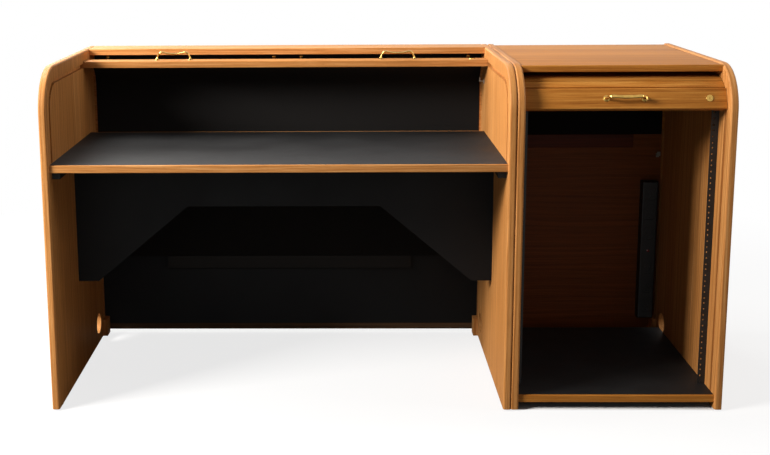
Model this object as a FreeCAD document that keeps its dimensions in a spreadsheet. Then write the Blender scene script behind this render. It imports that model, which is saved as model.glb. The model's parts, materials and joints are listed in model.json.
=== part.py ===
import FreeCAD, Part

import math
import os

import Sketcher

Vector = FreeCAD.Vector
X_AXIS = Vector(1, 0, 0)

# Driving dimensions of the desk, in millimetres and degrees.
SIZES = [
    ("side_board", 19.05, "thickness of a side panel"),
    ("desk_clear", 1117.6, "inside width of the desk bay"),
    ("rack_clear", 488.95, "inside width of the rack bay"),
    ("depth", 609.6, "front to back of a side panel"),
    ("height", 866, "floor to the top edge of the sides"),
    ("glide_height", 4, "glide under a side panel"),
    ("glide_radius", 11, "glide radius"),
    ("glide_inset", 45, "glide centre from the front and the back"),
    ("corner_radius", 110, "rounded front top corner of a side panel"),
    ("edge_round", 5, "rounding along the edges of a side panel"),
    ("groove_rim", 33, "edge of a side panel to the tambour groove"),
    ("groove_width", 12, "tambour groove, across"),
    ("groove_depth", 9.5, "tambour groove, into the panel"),
    ("hole_radius", 29, "cable hole radius"),
    ("hole_height", 60, "cable hole centre above the floor"),
    ("hole_setback", 500, "cable hole centre behind the front"),
    ("strike_length", 46, "strike mortise along the groove"),
    ("strike_depth", 15, "strike mortise into the panel"),
    ("top_board", 18, "thickness of the top panels"),
    ("desk_top_depth", 94, "front to back of the desk top panel"),
    ("rack_top_setback", 80, "front edge of the rack top behind the sides"),
    ("worktop_height", 630, "floor to the writing surface"),
    ("work_board", 19, "thickness of worktop and rack shelf"),
    ("front_setback", 8, "worktop and shelf edges behind the side edges"),
    ("lipping", 6, "solid edge band on worktop and shelf"),
    ("worktop_depth", 494, "front to back of the worktop with its lipping"),
    ("shelf_height", 39, "floor to the rack shelf surface"),
    ("shelf_depth", 504, "front to back of the rack shelf with its lipping"),
    ("cleat", 20, "square section of the support cleats"),
    ("apron_setback", 270, "knee apron behind the front edges"),
    ("apron_board", 18, "thickness of the knee apron"),
    ("apron_foot", 259, "floor to the underside of the apron wings"),
    ("apron_crown", 466, "floor to the top of the apron cut-out"),
    ("apron_foot_half", 504, "half width of the cut-out at the wings' feet"),
    ("apron_crown_half", 257.5, "half width of the cut-out at its top"),
    ("back_setback", 588, "inner face of the back panels behind the front"),
    ("back_board", 12, "thickness of the back panels"),
    ("back_clearance", 13, "floor to the underside of the back panels"),
    ("block_width", 14, "groove stop block, across"),
    ("block_depth", 38, "groove stop block, front to back"),
    ("block_height", 50, "groove stop block, upwards"),
    ("rail_width", 52, "lead rail, leading to trailing edge"),
    ("rail_board", 18, "lead rail thickness"),
    ("rail_gap", 0.8, "lead rail end to the side panel"),
    ("rail_seat", 0.4, "lead rail inner face above the groove lip"),
    ("rail_round", 3, "rounding along the lead rail edges"),
    ("tongue_length", 10, "guide tongue along the groove"),
    ("tongue_reach", 8, "guide tongue past the side panel face"),
    ("desk_rail_rest", 433, "leading edge of the parked desk rail behind the front"),
    ("pin_radius", 4.5, "guide pin of the rack lead rail"),
    ("pin_rise", 7, "guide pin axis above the rail's leading edge"),
    ("pin_bore_depth", 14, "guide pin bore in the rail end"),
    ("pin_bore_gap", 0.3, "guide pin to its bore"),
    ("pin_rest_angle", 6.5, "guide pin at rest, turned up round the corner arc"),
    ("rack_rail_tilt", 22, "rack lead rail at rest, leaning back"),
    ("pull_centres", 92, "foot to foot of a bow pull"),
    ("pull_rise", 22.5, "rail face to the centre line of the bow"),
    ("pull_dip", 2.4, "sag in the middle of the bow"),
    ("pull_bend", 18, "bend radius at the bow's shoulders"),
    ("pull_bar", 3.3, "bow bar radius"),
    ("desk_pull_offset", 311, "desk pull centre from the middle of the bay"),
    ("rosette_radius", 8, "rosette under a pull foot"),
    ("rosette_height", 2.2, "rosette thickness"),
    ("pull_screw_radius", 1.7, "pull screw shank"),
    ("pull_screw_hole", 2.1, "pull screw hole"),
    ("pull_screw_head", 3.8, "pull screw head radius"),
    ("lock_inset", 41, "lock axis from the end of the lead rail"),
    ("lock_plug_radius", 5.6, "lock plug"),
    ("lock_bore_gap", 0.3, "plug to its bore"),
    ("escutcheon_radius", 9.2, "brass ring round the lock plug"),
    ("escutcheon_height", 1.4, "ring thickness"),
    ("bolt_width", 6, "lock bolt along the rail width"),
    ("bolt_board", 5, "lock bolt thickness"),
    ("bolt_rise", 12.5, "bolt edge above the leading edge"),
    ("bolt_seat", 5, "bolt above the rail's inner face"),
    ("bolt_throw", 8, "bolt travel"),
    ("cam_radius", 9, "reach of the cam behind the plug"),
    ("cam_board", 2, "cam thickness"),
    ("case_depth", 13.4, "lock mortise in the rail's inner face"),
    ("case_height", 7, "lock case, into the mortise"),
    ("slat_pitch", 22, "slat to slat"),
    ("slat_gap", 0.5, "between slats lying flat"),
    ("slat_board", 10, "slat thickness"),
    ("slat_bevel", 1.5, "bevel along a slat's outer edges"),
    ("slat_play", 0.1, "slat above the groove's inner lip, at mid chord"),
    ("slat_end_gap", 1.5, "slat end to the bottom of the groove"),
    ("canvas", 0.8, "canvas backing"),
    ("canvas_inset", 6.5, "canvas edge to the side panel"),
    ("canvas_hem", 11, "canvas past the last slat"),
    ("tail_width", 39, "tail bar, upwards"),
    ("tail_board", 12, "tail bar thickness"),
    ("tail_share", 0.643, "tail bar length as a share of the bay"),
    ("desk_slats", 28, "slats in the desk tambour"),
    ("rack_slats", 31, "slats in the rack tambour"),
    ("rack_slat_gap", 1, "rack lead rail to the first slat"),
    ("rack_rail_setback", 86, "rack rails behind the side edges"),
    ("rack_flange", 19, "front flange of a rack rail"),
    ("rack_leg", 32, "side leg of a rack rail"),
    ("rack_gauge", 2, "rack rail steel"),
    ("rack_unit", 44.45, "one rack unit"),
    ("rack_hole", 5, "tapped rack hole, across"),
    ("rack_notch_gap", 0.5, "rack rail to its notch in the shelf"),
    ("rack_hole_line", 11.9, "rack hole line from the side panel"),
    ("strip_width", 46, "power strip, across"),
    ("strip_height", 412, "power strip, upwards"),
    ("strip_depth", 30, "power strip, front to back"),
    ("strip_foot", 56, "floor to the power strip"),
    ("strip_inset", 10, "power strip from the right side panel"),
    ("strip_sockets", 6, "sockets in the power strip"),
    ("socket_half", 17.5, "socket face, middle to edge"),
    ("socket_corner", 7, "cut corner of a socket face"),
    ("socket_sink", 3, "socket face seat in the strip"),
    ("socket_gap", 0.4, "socket face to its seat"),
    ("bolt_head_radius", 7.5, "hexagon head and nut of a module bolt, over the corners"),
    ("bolt_head_height", 4, "hexagon head and nut, along the bolt"),
    ("bolt_shank_radius", 3, "module bolt shank"),
    ("bolt_inset", 70, "module bolts from the foot of the apron and from the worktop"),
    ("screw_head", 4, "wood screw head radius"),
    ("screw_rise", 1.6, "wood screw head above its seat"),
    ("washer_radius", 5.2, "cup washer under a back panel screw"),
    ("panel_screw_drop", 14, "back panel screws below the top panels"),
    ("panel_screw_inset", 38, "outer back panel screws from the side panels"),
    ("panel_screw_pair", 39, "inner back panel screws from the middle of the desk"),
]

# Places worked out from the driving dimensions.
PLACES = [
    ("total_width", "Sizes.desk_clear + Sizes.rack_clear + 4 * Sizes.side_board"),
    ("left_x", "-total_width / 2"),
    ("desk_left_in", "left_x + Sizes.side_board"),
    ("desk_right_in", "desk_left_in + Sizes.desk_clear"),
    ("desk_mid", "desk_left_in + Sizes.desk_clear / 2"),
    ("seam_x", "desk_right_in + Sizes.side_board"),
    ("rack_left_in", "seam_x + Sizes.side_board"),
    ("rack_right_in", "rack_left_in + Sizes.rack_clear"),
    ("rack_mid", "rack_left_in + Sizes.rack_clear / 2"),
    ("front_y", "-Sizes.depth / 2"),
    ("back_y", "Sizes.depth / 2"),
    ("arc_front_y", "front_y + Sizes.corner_radius"),
    ("arc_back_y", "back_y - Sizes.corner_radius"),
    ("arc_z", "Sizes.height - Sizes.corner_radius"),
    ("groove_outer", "Sizes.corner_radius - Sizes.groove_rim"),
    ("groove_inner", "groove_outer - Sizes.groove_width"),
    ("groove_middle", "groove_outer - Sizes.groove_width / 2"),
    ("slat_sag", "Sizes.slat_pitch ^ 2 / (8 * groove_inner)"),
    ("hinge_path", "groove_inner + slat_sag + Sizes.slat_play"),
    ("panel_foot", "Sizes.glide_height"),
    ("work_front", "front_y + Sizes.front_setback"),
    ("back_face", "front_y + Sizes.back_setback"),
    ("worktop_under", "Sizes.worktop_height - Sizes.work_board"),
    ("top_under", "Sizes.height - Sizes.top_board"),
    ("rack_span", "arc_z - Sizes.shelf_height"),
    ("rack_units", "floor(rack_span / Sizes.rack_unit)"),
]

doc = FreeCAD.newDocument("tambour_desk")


def fill_sheets():
    """Puts the driving dimensions and the places worked out from them into two sheets."""
    sizes = doc.addObject("Spreadsheet::Sheet", "Sizes")
    for row, (alias, value, note) in enumerate(SIZES, 1):
        sizes.set(f"A{row}", note)
        sizes.set(f"B{row}", str(value))
        sizes.setAlias(f"B{row}", alias)
    places = doc.addObject("Spreadsheet::Sheet", "Places")
    for row, (alias, formula) in enumerate(PLACES, 1):
        places.set(f"A{row}", alias)
        places.set(f"B{row}", "=" + formula)
        places.setAlias(f"B{row}", alias)
    doc.recompute()
    return sizes, places


sizes, places = fill_sheets()
nodes = []


def scoped(formula):
    """Writes a formula of aliases so that any object can read it."""
    text = str(formula)
    out, word = "", ""
    for letter in text + " ":
        if letter.isalnum() or letter in "_.":
            word += letter
            continue
        if word in SIZE_NAMES:
            word = "Sizes." + word
        elif word in PLACE_NAMES:
            word = "Places." + word
        out += word + letter
        word = ""
    return out.strip()


SIZE_NAMES = {alias for alias, _, _ in SIZES}
PLACE_NAMES = {alias for alias, _ in PLACES}


def val(formula):
    """The present value of a formula of aliases."""
    result = sizes.evalExpression(scoped(formula))
    return float(getattr(result, "Value", result))


def bind(thing, prop, formula):
    thing.setExpression(prop, scoped(formula))


def keep(thing, label):
    """Names a finished piece and lists it for export."""
    thing.Label = label
    nodes.append(thing)
    return thing


def block(name, low, size):
    """A board with its low corner and its size given by formulas."""
    box = doc.addObject("Part::Box", name)
    for prop, formula in zip(("Length", "Width", "Height"), size):
        bind(box, prop, formula)
    for axis, formula in zip("xyz", low):
        bind(box, f"Placement.Base.{axis}", formula)
    return box


def group(label, pieces):
    """Like pieces that share one node, each a solid of its own."""
    compound = doc.addObject("Part::Compound", label)
    compound.Links = pieces
    return keep(compound, label)


def new_body(label):
    body = doc.addObject("PartDesign::Body", label)
    return keep(body, label)


def new_sketch(body, name, role, offset="0"):
    """A sketch on one of the body's own origin planes, moved along its normal."""
    sketch = body.newObject("Sketcher::SketchObject", name)
    plane = [f for f in body.Origin.OriginFeatures if f.Role == role][0]
    sketch.AttachmentSupport = [(plane, "")]
    sketch.MapMode = "FlatFace"
    bind(sketch, "AttachmentOffset.Base.z", offset)
    return sketch


def pin_point(sketch, geometry, end, at):
    """Ties a point of the sketch to a place given by two formulas."""
    for kind, formula in zip(("DistanceX", "DistanceY"), at):
        rule = Sketcher.Constraint(kind, -1, 1, geometry, end, val(formula))
        index = sketch.addConstraint(rule)
        bind(sketch, f"Constraints[{index}]", formula)


def outline(sketch, corners, closed=True):
    """Draws lines and arcs through the corners. A corner is (x, y) or (x, y, centre x, centre y, turn):
    the latter starts an arc about that centre to the next corner, turn being 1 for anticlockwise."""
    count = len(corners) if closed else len(corners) - 1
    drawn = []
    for i in range(count):
        here, there = corners[i], corners[(i + 1) % len(corners)]
        start = Vector(val(here[0]), val(here[1]), 0)
        end = Vector(val(there[0]), val(there[1]), 0)
        if len(here) == 2:
            sketch.addGeometry(Part.LineSegment(start, end), False)
            drawn.append((1, 2))
            continue
        centre = Vector(val(here[2]), val(here[3]), 0)
        radius = (start - centre).Length
        first, last = (start, end) if here[4] > 0 else (end, start)
        angles = [math.atan2(p.y - centre.y, p.x - centre.x) for p in (first, last)]
        if angles[1] < angles[0]:
            angles[1] += 2 * math.pi
        circle = Part.Circle(centre, Vector(0, 0, 1), radius)
        sketch.addGeometry(Part.ArcOfCircle(circle, angles[0], angles[1]), False)
        drawn.append((1, 2) if here[4] > 0 else (2, 1))
    base = sketch.GeometryCount - count
    for i in range(count):
        pin_point(sketch, base + i, drawn[i][0], corners[i][:2])
        if i + 1 < count or closed:
            follow = (i + 1) % count
            join = Sketcher.Constraint(
                "Coincident", base + i, drawn[i][1], base + follow, drawn[follow][0]
            )
            sketch.addConstraint(join)
        else:
            pin_point(sketch, base + i, drawn[i][1], corners[-1][:2])
        if len(corners[i]) > 2:
            pin_centre(sketch, base + i, corners[i], corners[(i + 1) % len(corners)])
    return sketch


def pin_centre(sketch, geometry, here, there):
    """Fixes an arc's centre along the axis on which its end points lie further apart."""
    wide = abs(val(there[0]) - val(here[0]))
    high = abs(val(there[1]) - val(here[1]))
    kind, formula = ("DistanceY", here[3]) if wide > high else ("DistanceX", here[2])
    rule = Sketcher.Constraint(kind, -1, 1, geometry, 3, val(formula))
    index = sketch.addConstraint(rule)
    bind(sketch, f"Constraints[{index}]", formula)


def rectangle(sketch, left, low, right, high):
    return outline(sketch, [(left, low), (right, low), (right, high), (left, high)])


def circle(sketch, x, y, radius):
    index = sketch.addGeometry(
        Part.Circle(Vector(val(x), val(y), 0), Vector(0, 0, 1), val(radius)), False
    )
    pin_point(sketch, index, 3, (x, y))
    size = sketch.addConstraint(Sketcher.Constraint("Radius", index, val(radius)))
    bind(sketch, f"Constraints[{size}]", radius)
    return sketch


def pad(body, sketch, length, reverse=False):
    feature = body.newObject("PartDesign::Pad", sketch.Name + "_pad")
    feature.Profile = sketch
    feature.Reversed = reverse
    bind(feature, "Length", length)
    doc.recompute()
    return feature


def pocket(body, sketch, length, reverse=False):
    """Cuts a sketch into the body, and makes sure that it did cut."""
    before = body.Shape.Volume
    feature = body.newObject("PartDesign::Pocket", sketch.Name + "_pocket")
    feature.Profile = sketch
    feature.Reversed = reverse
    bind(feature, "Length", length)
    doc.recompute()
    if not body.Shape.Volume < before - 0.01:
        raise ValueError(f"{sketch.Name} cut nothing")
    return feature


def round_edges(body, base, chosen, radius):
    """Rounds the edges of the last feature that the test picks."""
    names = [
        f"Edge{i}" for i, edge in enumerate(base.Shape.Edges, 1) if chosen(edge)
    ]
    feature = body.newObject("PartDesign::Fillet", base.Name + "_round")
    feature.Base = (base, names)
    bind(feature, "Radius", radius)
    doc.recompute()
    return feature


def lies_on(edge, axis, place):
    """Whether the whole edge lies in the plane at that place along an axis."""
    box = edge.BoundBox
    low, high = {
        "x": (box.XMin, box.XMax),
        "y": (box.YMin, box.YMax),
        "z": (box.ZMin, box.ZMax),
    }[axis]
    return abs(low - place) < 0.01 and abs(high - place) < 0.01


# Side panels


def groove_outline(sketch, front_foot, back_foot):
    """The tambour groove: up the front, round the corner, along the top, and down the back."""
    outer, inner = "groove_outer", "groove_inner"
    front, back, high = "arc_front_y", "arc_back_y", "arc_z"
    outline(
        sketch,
        [
            (f"{front} - {outer}", front_foot),
            (f"{front} - {inner}", front_foot),
            (f"{front} - {inner}", high, front, high, -1),
            (front, f"{high} + {inner}"),
            (back, f"{high} + {inner}", back, high, -1),
            (f"{back} + {inner}", high),
            (f"{back} + {inner}", back_foot),
            (f"{back} + {outer}", back_foot),
            (f"{back} + {outer}", high, back, high, 1),
            (back, f"{high} + {outer}"),
            (front, f"{high} + {outer}", front, high, 1),
            (f"{front} - {outer}", high),
        ],
    )


def side_panel(label, face, outward, front_foot, strike_at=None):
    """A side panel with its inner face at a place along X, standing outward of it (+1 or -1)."""
    body = new_body(label)
    shape = outline(
        new_sketch(body, label + "_outline", "YZ_Plane", face),
        [
            ("front_y", "panel_foot"),
            ("back_y", "panel_foot"),
            ("back_y", "height"),
            ("arc_front_y", "height", "arc_front_y", "arc_z", 1),
            ("front_y", "arc_z"),
        ],
    )
    plate = pad(body, shape, "side_board", outward < 0)
    faces = [val(face), val(face) + outward * val("side_board")]
    foot, back = val("panel_foot"), val("back_y")

    def long_edge(edge):
        on_face = any(lies_on(edge, "x", place) for place in faces)
        return on_face and not (lies_on(edge, "z", foot) or lies_on(edge, "y", back))

    plate = round_edges(body, plate, long_edge, "edge_round")
    body.Tip = plate
    track = new_sketch(body, label + "_groove", "YZ_Plane", face)
    groove_outline(track, front_foot, "panel_foot - 1")
    pocket(body, track, "groove_depth", outward > 0)
    hole = new_sketch(body, label + "_hole", "YZ_Plane", face)
    circle(hole, "front_y + hole_setback", "hole_height", "hole_radius")
    pocket(body, hole, "side_board", outward > 0)
    if strike_at:
        strike = new_sketch(body, label + "_strike", "YZ_Plane", face)
        rectangle(
            strike,
            "arc_front_y - groove_outer",
            f"{strike_at} - strike_length / 2",
            "arc_front_y - groove_inner",
            f"{strike_at} + strike_length / 2",
        )
        pocket(body, strike, "strike_depth", outward > 0)
    return body


def side_panels():
    side_panel("desk_side_left", "desk_left_in", -1, "worktop_height")
    desk_strike = "worktop_height + rail_width / 2"
    side_panel("desk_side_right", "desk_right_in", 1, "worktop_height", desk_strike)
    side_panel("rack_side_left", "rack_left_in", -1, "shelf_height")
    rack_strike = "shelf_height + rail_width / 2"
    side_panel("rack_side_right", "rack_right_in", 1, "shelf_height", rack_strike)


def glides():
    """Eight-sided glides nailed under the four side panels."""
    pieces = []
    radius, high = min(val("glide_radius"), val("side_board / 2 - 1")), val("glide_height")
    for face, outward in (
        ("desk_left_in", -1),
        ("desk_right_in", 1),
        ("rack_left_in", -1),
        ("rack_right_in", 1),
    ):
        x = f"{face} + {outward} * side_board / 2"
        for y in ("front_y + glide_inset", "back_y - glide_inset"):
            place = Vector(val(x), val(y), 0)
            pieces.append(faceted([(radius, 0), (radius, high)], 8, place, Vector(0, 0, 1)))
    feature("glides", Part.makeCompound(pieces))


# Boards


def bullnosed_board(label, low, high, round_at):
    """A board between two corners whose long front edges are rounded."""
    body = new_body(label)
    sketch = new_sketch(body, label + "_outline", "YZ_Plane", low[0])
    rectangle(sketch, low[1], low[2], high[1], high[2])
    base = pad(body, sketch, f"({high[0]}) - ({low[0]})")
    front = val(low[1])

    def along_front(edge):
        return lies_on(edge, "y", front) and edge.Length > val("side_board") * 2

    body.Tip = round_edges(body, base, along_front, round_at)
    return body


def tops():
    bullnosed_board(
        "desk_top_panel",
        ("desk_left_in", "back_y - desk_top_depth", "top_under"),
        ("desk_right_in", "back_y", "height"),
        "2",
    )
    bullnosed_board(
        "rack_top_panel",
        ("rack_left_in", "front_y + rack_top_setback", "top_under"),
        ("rack_right_in", "back_y", "height"),
        "edge_round - 1",
    )


def shelf_board(label, left, right, surface, back, notched=False):
    """A laminated board and the rounded solid lipping along its front."""
    under = f"{surface} - work_board"
    front = "work_front + lipping"
    corners = [(left, front), (right, front)]
    if notched:
        corners += rail_notch(right, 1)
    corners += [(right, back), (left, back)]
    if notched:
        corners += rail_notch(left, -1)
    body = new_body(label)
    sketch = outline(new_sketch(body, label + "_outline", "XY_Plane", under), corners)
    pad(body, sketch, "work_board")
    bullnosed_board(
        label + "_lipping",
        (left, "work_front", under),
        (right, "work_front + lipping", surface),
        "lipping / 3",
    )


def rail_notch(face, outward):
    """The four corners of the notch that lets a rack rail down beside the shelf."""
    inner = f"{face} - {outward} * (rack_flange + rack_notch_gap)"
    first = "front_y + rack_rail_setback - rack_notch_gap"
    last = "front_y + rack_rail_setback + rack_leg + rack_notch_gap"
    notch = [(face, first), (inner, first), (inner, last), (face, last)]
    return notch if outward > 0 else notch[::-1]


def cleats(label, left, right, top, high, start, reach):
    """Battens on both walls under a board."""
    y = f"work_front + lipping + {start}"
    size = ("cleat", reach, high)
    pieces = [
        block(label + "_left", (left, y, f"{top} - {high}"), size),
        block(label + "_right", (f"{right} - cleat", y, f"{top} - {high}"), size),
    ]
    group(label, pieces)


def worktop_and_shelf():
    walls = ("desk_left_in", "desk_right_in")
    back = "work_front + worktop_depth - lipping"
    shelf_board("worktop", *walls, "worktop_height", back)
    low = ("desk_left_in", back, "worktop_under")
    rear = block("worktop_back_lipping", low, ("desk_clear", "lipping", "work_board"))
    keep(rear, "worktop_back_lipping")
    reach = "apron_setback - front_setback - lipping - 2 * cleat"
    cleats("worktop_cleats", *walls, "worktop_under", "cleat", "cleat", reach)
    walls = ("rack_left_in", "rack_right_in")
    shelf_board("rack_shelf", *walls, "shelf_height", "work_front + shelf_depth", True)
    under = "shelf_height - work_board"
    high = f"({under} - panel_foot - 2)"
    start = "(rack_rail_setback + rack_leg)"
    reach = f"hole_setback - hole_radius - {start} - cleat"
    cleats("rack_shelf_cleats", *walls, under, high, start, reach)


def knee_apron():
    """The stiffening panel across the knee space, cut out between its two wings."""
    body = new_body("knee_apron")
    sketch = new_sketch(
        body, "knee_apron_outline", "XZ_Plane", "-(front_y + apron_setback)"
    )
    foot, crown, top = "apron_foot", "apron_crown", "worktop_under"
    outline(
        sketch,
        [
            ("desk_left_in", foot),
            ("desk_mid - apron_foot_half", foot),
            ("desk_mid - apron_crown_half", crown),
            ("desk_mid + apron_crown_half", crown),
            ("desk_mid + apron_foot_half", foot),
            ("desk_right_in", foot),
            ("desk_right_in", top),
            ("desk_left_in", top),
        ],
    )
    pad(body, sketch, "apron_board", True)
    y = "front_y + apron_setback + apron_board"
    low = "apron_foot + cleat"
    size = ("cleat", "cleat", "worktop_under - apron_foot - 2 * cleat")
    left = block("apron_cleat_left", ("desk_left_in", y, low), size)
    right = block("apron_cleat_right", ("desk_right_in - cleat", y, low), size)
    group("apron_cleats", [left, right])


def back_panels():
    """Plywood backs let in between the side panels behind the tambour tracks."""
    for prefix, left, right in (
        ("desk", "desk_left_in", "desk_right_in"),
        ("rack", "rack_left_in", "rack_right_in"),
    ):
        low = (left, "back_face", "back_clearance")
        size = (f"{right} - {left}", "back_board", "top_under - back_clearance")
        label = prefix + "_back_panel"
        keep(block(label, low, size), label)


def groove_stop_blocks():
    """Blocks on the walls at the floor that close the foot of the tambour grooves."""
    pieces = []
    for face, shift in (
        ("desk_left_in", "0"),
        ("desk_right_in", "-block_width"),
        ("rack_left_in", "0"),
        ("rack_right_in", "-block_width"),
    ):
        name = f"stop_block_{len(pieces)}"
        low = (f"{face} + {shift}", "back_face - block_depth", "panel_foot")
        pieces.append(block(name, low, ("block_width", "block_depth", "block_height")))
    group("groove_stop_blocks", pieces)


# Small fixings, each turned about its own axis and set in place


def turned(profile, place, axis):
    """Turns a half profile of (radius, height) pairs and stands it at a place along an axis."""
    points = [Vector(radius, 0, height) for radius, height in profile]
    wire = Part.makePolygon(points + [points[0]])
    solid = Part.Face(wire).revolve(Vector(), Vector(0, 0, 1), 360)
    solid.Placement = FreeCAD.Placement(
        place, FreeCAD.Rotation(Vector(0, 0, 1), axis)
    )
    return solid


def feature(label, shape, placement=None):
    """A piece whose shape is made with Part's own functions."""
    thing = doc.addObject("Part::Feature", label)
    thing.Shape = shape
    if placement:
        thing.Placement = placement.multiply(shape.Placement)
    return keep(thing, label)


def faceted(rings, sides, place, axis):
    """A head with flat sides through rings of (radius, height), stood at a place along an axis."""
    wires = []
    for radius, height in rings:
        angles = [2 * math.pi * (i + 0.5) / sides for i in range(sides)]
        corners = [Vector(radius * math.cos(a), radius * math.sin(a), height) for a in angles]
        wires.append(Part.makePolygon(corners + [corners[0]]))
    solid = Part.makeLoft(wires, True, True)
    solid.Placement = FreeCAD.Placement(place, FreeCAD.Rotation(Vector(0, 0, 1), axis))
    return solid


def back_panel_screws():
    """Screws on cup washers that hold the back panels to the tops, their heads facing in."""
    head, rise = val("screw_head"), val("screw_rise")
    cap = [(val("washer_radius"), 0), (head, rise)]
    end = "(clear / 2 - panel_screw_inset)"
    desk_end = val(end.replace("clear", "desk_clear"))
    rack_end = val(end.replace("clear", "rack_clear"))
    pair = val("panel_screw_pair")
    spots = [val("desk_mid") + shift for shift in (-desk_end, -pair, pair, desk_end)]
    spots += [val("rack_mid") + shift for shift in (-rack_end, rack_end)]
    face, top = val("back_face"), val("top_under - panel_screw_drop")
    inwards = Vector(0, -1, 0)
    pieces = [faceted(cap, 8, Vector(x, face, top), inwards) for x in spots]
    feature("back_panel_screws", Part.makeCompound(pieces))


def bolt_spots():
    """Where the module bolts pass, as (y, z) formulas behind the knee apron."""
    first_y = "front_y + apron_setback + apron_board + 3 * cleat"
    second_y = "front_y + worktop_depth - 1.5 * cleat"
    low, high = "apron_foot + bolt_inset", "worktop_under - bolt_inset"
    return [(y, z) for y in (first_y, second_y) for z in (low, high)]


def fit_module_bolts():
    """Bolts with hexagon heads and nuts that clamp the modules through both sides of the seam."""
    pieces = []
    through, high = 2 * val("side_board"), val("bolt_head_height")
    wide = val("bolt_head_radius")
    for y, z in bolt_spots():
        place = Vector(val("desk_right_in"), val(y), val(z))
        shank = Part.makeCylinder(val("bolt_shank_radius"), through, place, X_AXIS)
        head = faceted([(wide, -high), (wide, 0)], 6, place, X_AXIS)
        nut = faceted([(wide, through), (wide, through + high)], 6, place, X_AXIS)
        pieces.append(shank.fuse([head, nut]).removeSplitter())
    feature("module_bolts", Part.makeCompound(pieces))


def drill_seam(body, face, outward):
    sketch = new_sketch(body, body.Label + "_bolt_holes", "YZ_Plane", face)
    for y, z in bolt_spots():
        circle(sketch, y, z, "bolt_shank_radius + 0.3")
    pocket(body, sketch, "side_board", outward > 0)


# Rack rails


def rack_rail(label, face, outward):
    """A pierced steel angle screwed to the wall, its front flange tapped on the rack pitch."""
    body = new_body(label)
    foot = "shelf_height"
    sketch = new_sketch(body, label + "_section", "XY_Plane", f"{foot} - work_board")
    y0 = "front_y + rack_rail_setback"
    wall, inner = face, f"{face} - {outward} * rack_flange"
    steel = f"{face} - {outward} * rack_gauge"
    outline(
        sketch,
        [
            (wall, y0),
            (inner, y0),
            (inner, f"{y0} + rack_gauge"),
            (steel, f"{y0} + rack_gauge"),
            (steel, f"{y0} + rack_leg"),
            (wall, f"{y0} + rack_leg"),
        ],
    )
    pad(body, sketch, "rack_units * rack_unit + work_board")
    front = f"-({y0} + rack_gauge)"
    holes = new_sketch(body, label + "_holes", "XZ_Plane", front)
    line = f"{face} - {outward} * rack_hole_line"
    # The three holes of a unit stand at a seventh, a half and six sevenths of its height.
    for share in ("1 / 7", "1 / 2", "6 / 7"):
        octagon(holes, line, f"{foot} + rack_unit * {share}", "rack_hole / 2")
    cut = body.newObject("PartDesign::Pocket", label + "_holes_pocket")
    cut.Profile = holes
    bind(cut, "Length", "rack_gauge")
    cut.Reversed = True
    doc.recompute()
    if cut.Shape.Volume > body.Shape.Volume + 0.01 or cut.State == ["Invalid"]:
        raise ValueError("the rack holes did not cut")
    pattern = body.newObject("PartDesign::LinearPattern", label + "_pattern")
    pattern.Originals = [cut]
    pattern.Direction = (body.Origin.OriginFeatures[2], [""])
    pattern.Mode = "Extent"
    bind(pattern, "Length", "(rack_units - 1) * rack_unit")
    bind(pattern, "Occurrences", "rack_units")
    body.Tip = pattern
    doc.recompute()
    # The end holes locate a rack unit and are round. The rest keep the eight sides that make them light.
    ends = new_sketch(body, label + "_end_holes", "XZ_Plane", front)
    circle(ends, line, f"{foot} + rack_unit / 7", "rack_hole / 2")
    circle(ends, line, f"{foot} + rack_unit * (rack_units - 1 / 7)", "rack_hole / 2")
    pocket(body, ends, "rack_gauge", True)
    return body


def octagon(sketch, x, y, radius):
    """Eight corners on a circle."""
    corners = []
    for eighth in range(8):
        angle = 22.5 + 45 * eighth
        corners.append((f"{x} + {radius} * cos({angle})", f"{y} + {radius} * sin({angle})"))
    return outline(sketch, corners)


def rack_rails():
    rack_rail("rack_rail_left", "rack_left_in", -1)
    rack_rail("rack_rail_right", "rack_right_in", 1)
    pieces = []
    y = val("front_y + rack_rail_setback + rack_leg * 0.6")
    foot, unit = val("shelf_height"), val("rack_unit")
    head = val("screw_head")
    cap = [(head, 0), (head * 0.7, val("screw_rise"))]
    for face, outward in (("rack_left_in", -1), ("rack_right_in", 1)):
        x = val(face) - outward * val("rack_gauge")
        for share in (0.06, 0.35, 0.65, 0.94):
            place = Vector(x, y, foot + share * val("rack_units") * unit)
            pieces.append(faceted(cap, 8, place, Vector(-outward, 0, 0)))
    feature("rack_rail_screws", Part.makeCompound(pieces))


def power_strip():
    """A socket strip on the back panel beside the right wall of the rack bay."""
    right = "rack_right_in - strip_inset"
    left = f"{right} - strip_width"
    front = "back_face - strip_depth"
    body = new_body("rack_power_strip")
    sketch = new_sketch(body, "strip_section", "XY_Plane", "strip_foot")
    rectangle(sketch, left, front, right, "back_face")
    base = pad(body, sketch, "strip_height")
    face = val(front)

    def front_uprights(edge):
        return lies_on(edge, "y", face)

    body.Tip = round_edges(body, base, front_uprights, "4")
    wells = new_sketch(body, "strip_wells", "XZ_Plane", f"-({front})")
    spots = socket_spots()
    for x, z in spots:
        outline(wells, socket_outline(x, z, "socket_half"))
    pocket(body, wells, "socket_sink", False)
    inserts = [socket_insert(x, z, face + val("socket_sink")) for x, z in spots]
    feature("strip_sockets", Part.makeCompound(inserts))
    lamp = [(0, 2.2), (3.6, 1.2), (3.6, 0), (0, 0)]
    place = Vector(val(spots[0][0]), face, val("strip_foot + strip_height / 2"))
    feature("strip_pilot_lamp", turned(lamp, place, Vector(0, -1, 0)))


def socket_outline(x, z, half):
    """A square face with cut corners."""
    cut = f"({half} - socket_corner)"
    shifts = [(half, cut), (cut, half), (f"-{cut}", half), (f"-{half}", cut)]
    shifts += [(f"-{u}", f"-{v}") for u, v in shifts]
    shifts = [(u.replace("--", ""), v.replace("--", "")) for u, v in shifts]
    return [(f"{x} + {u}", f"{z} + {v}") for u, v in shifts]


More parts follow.
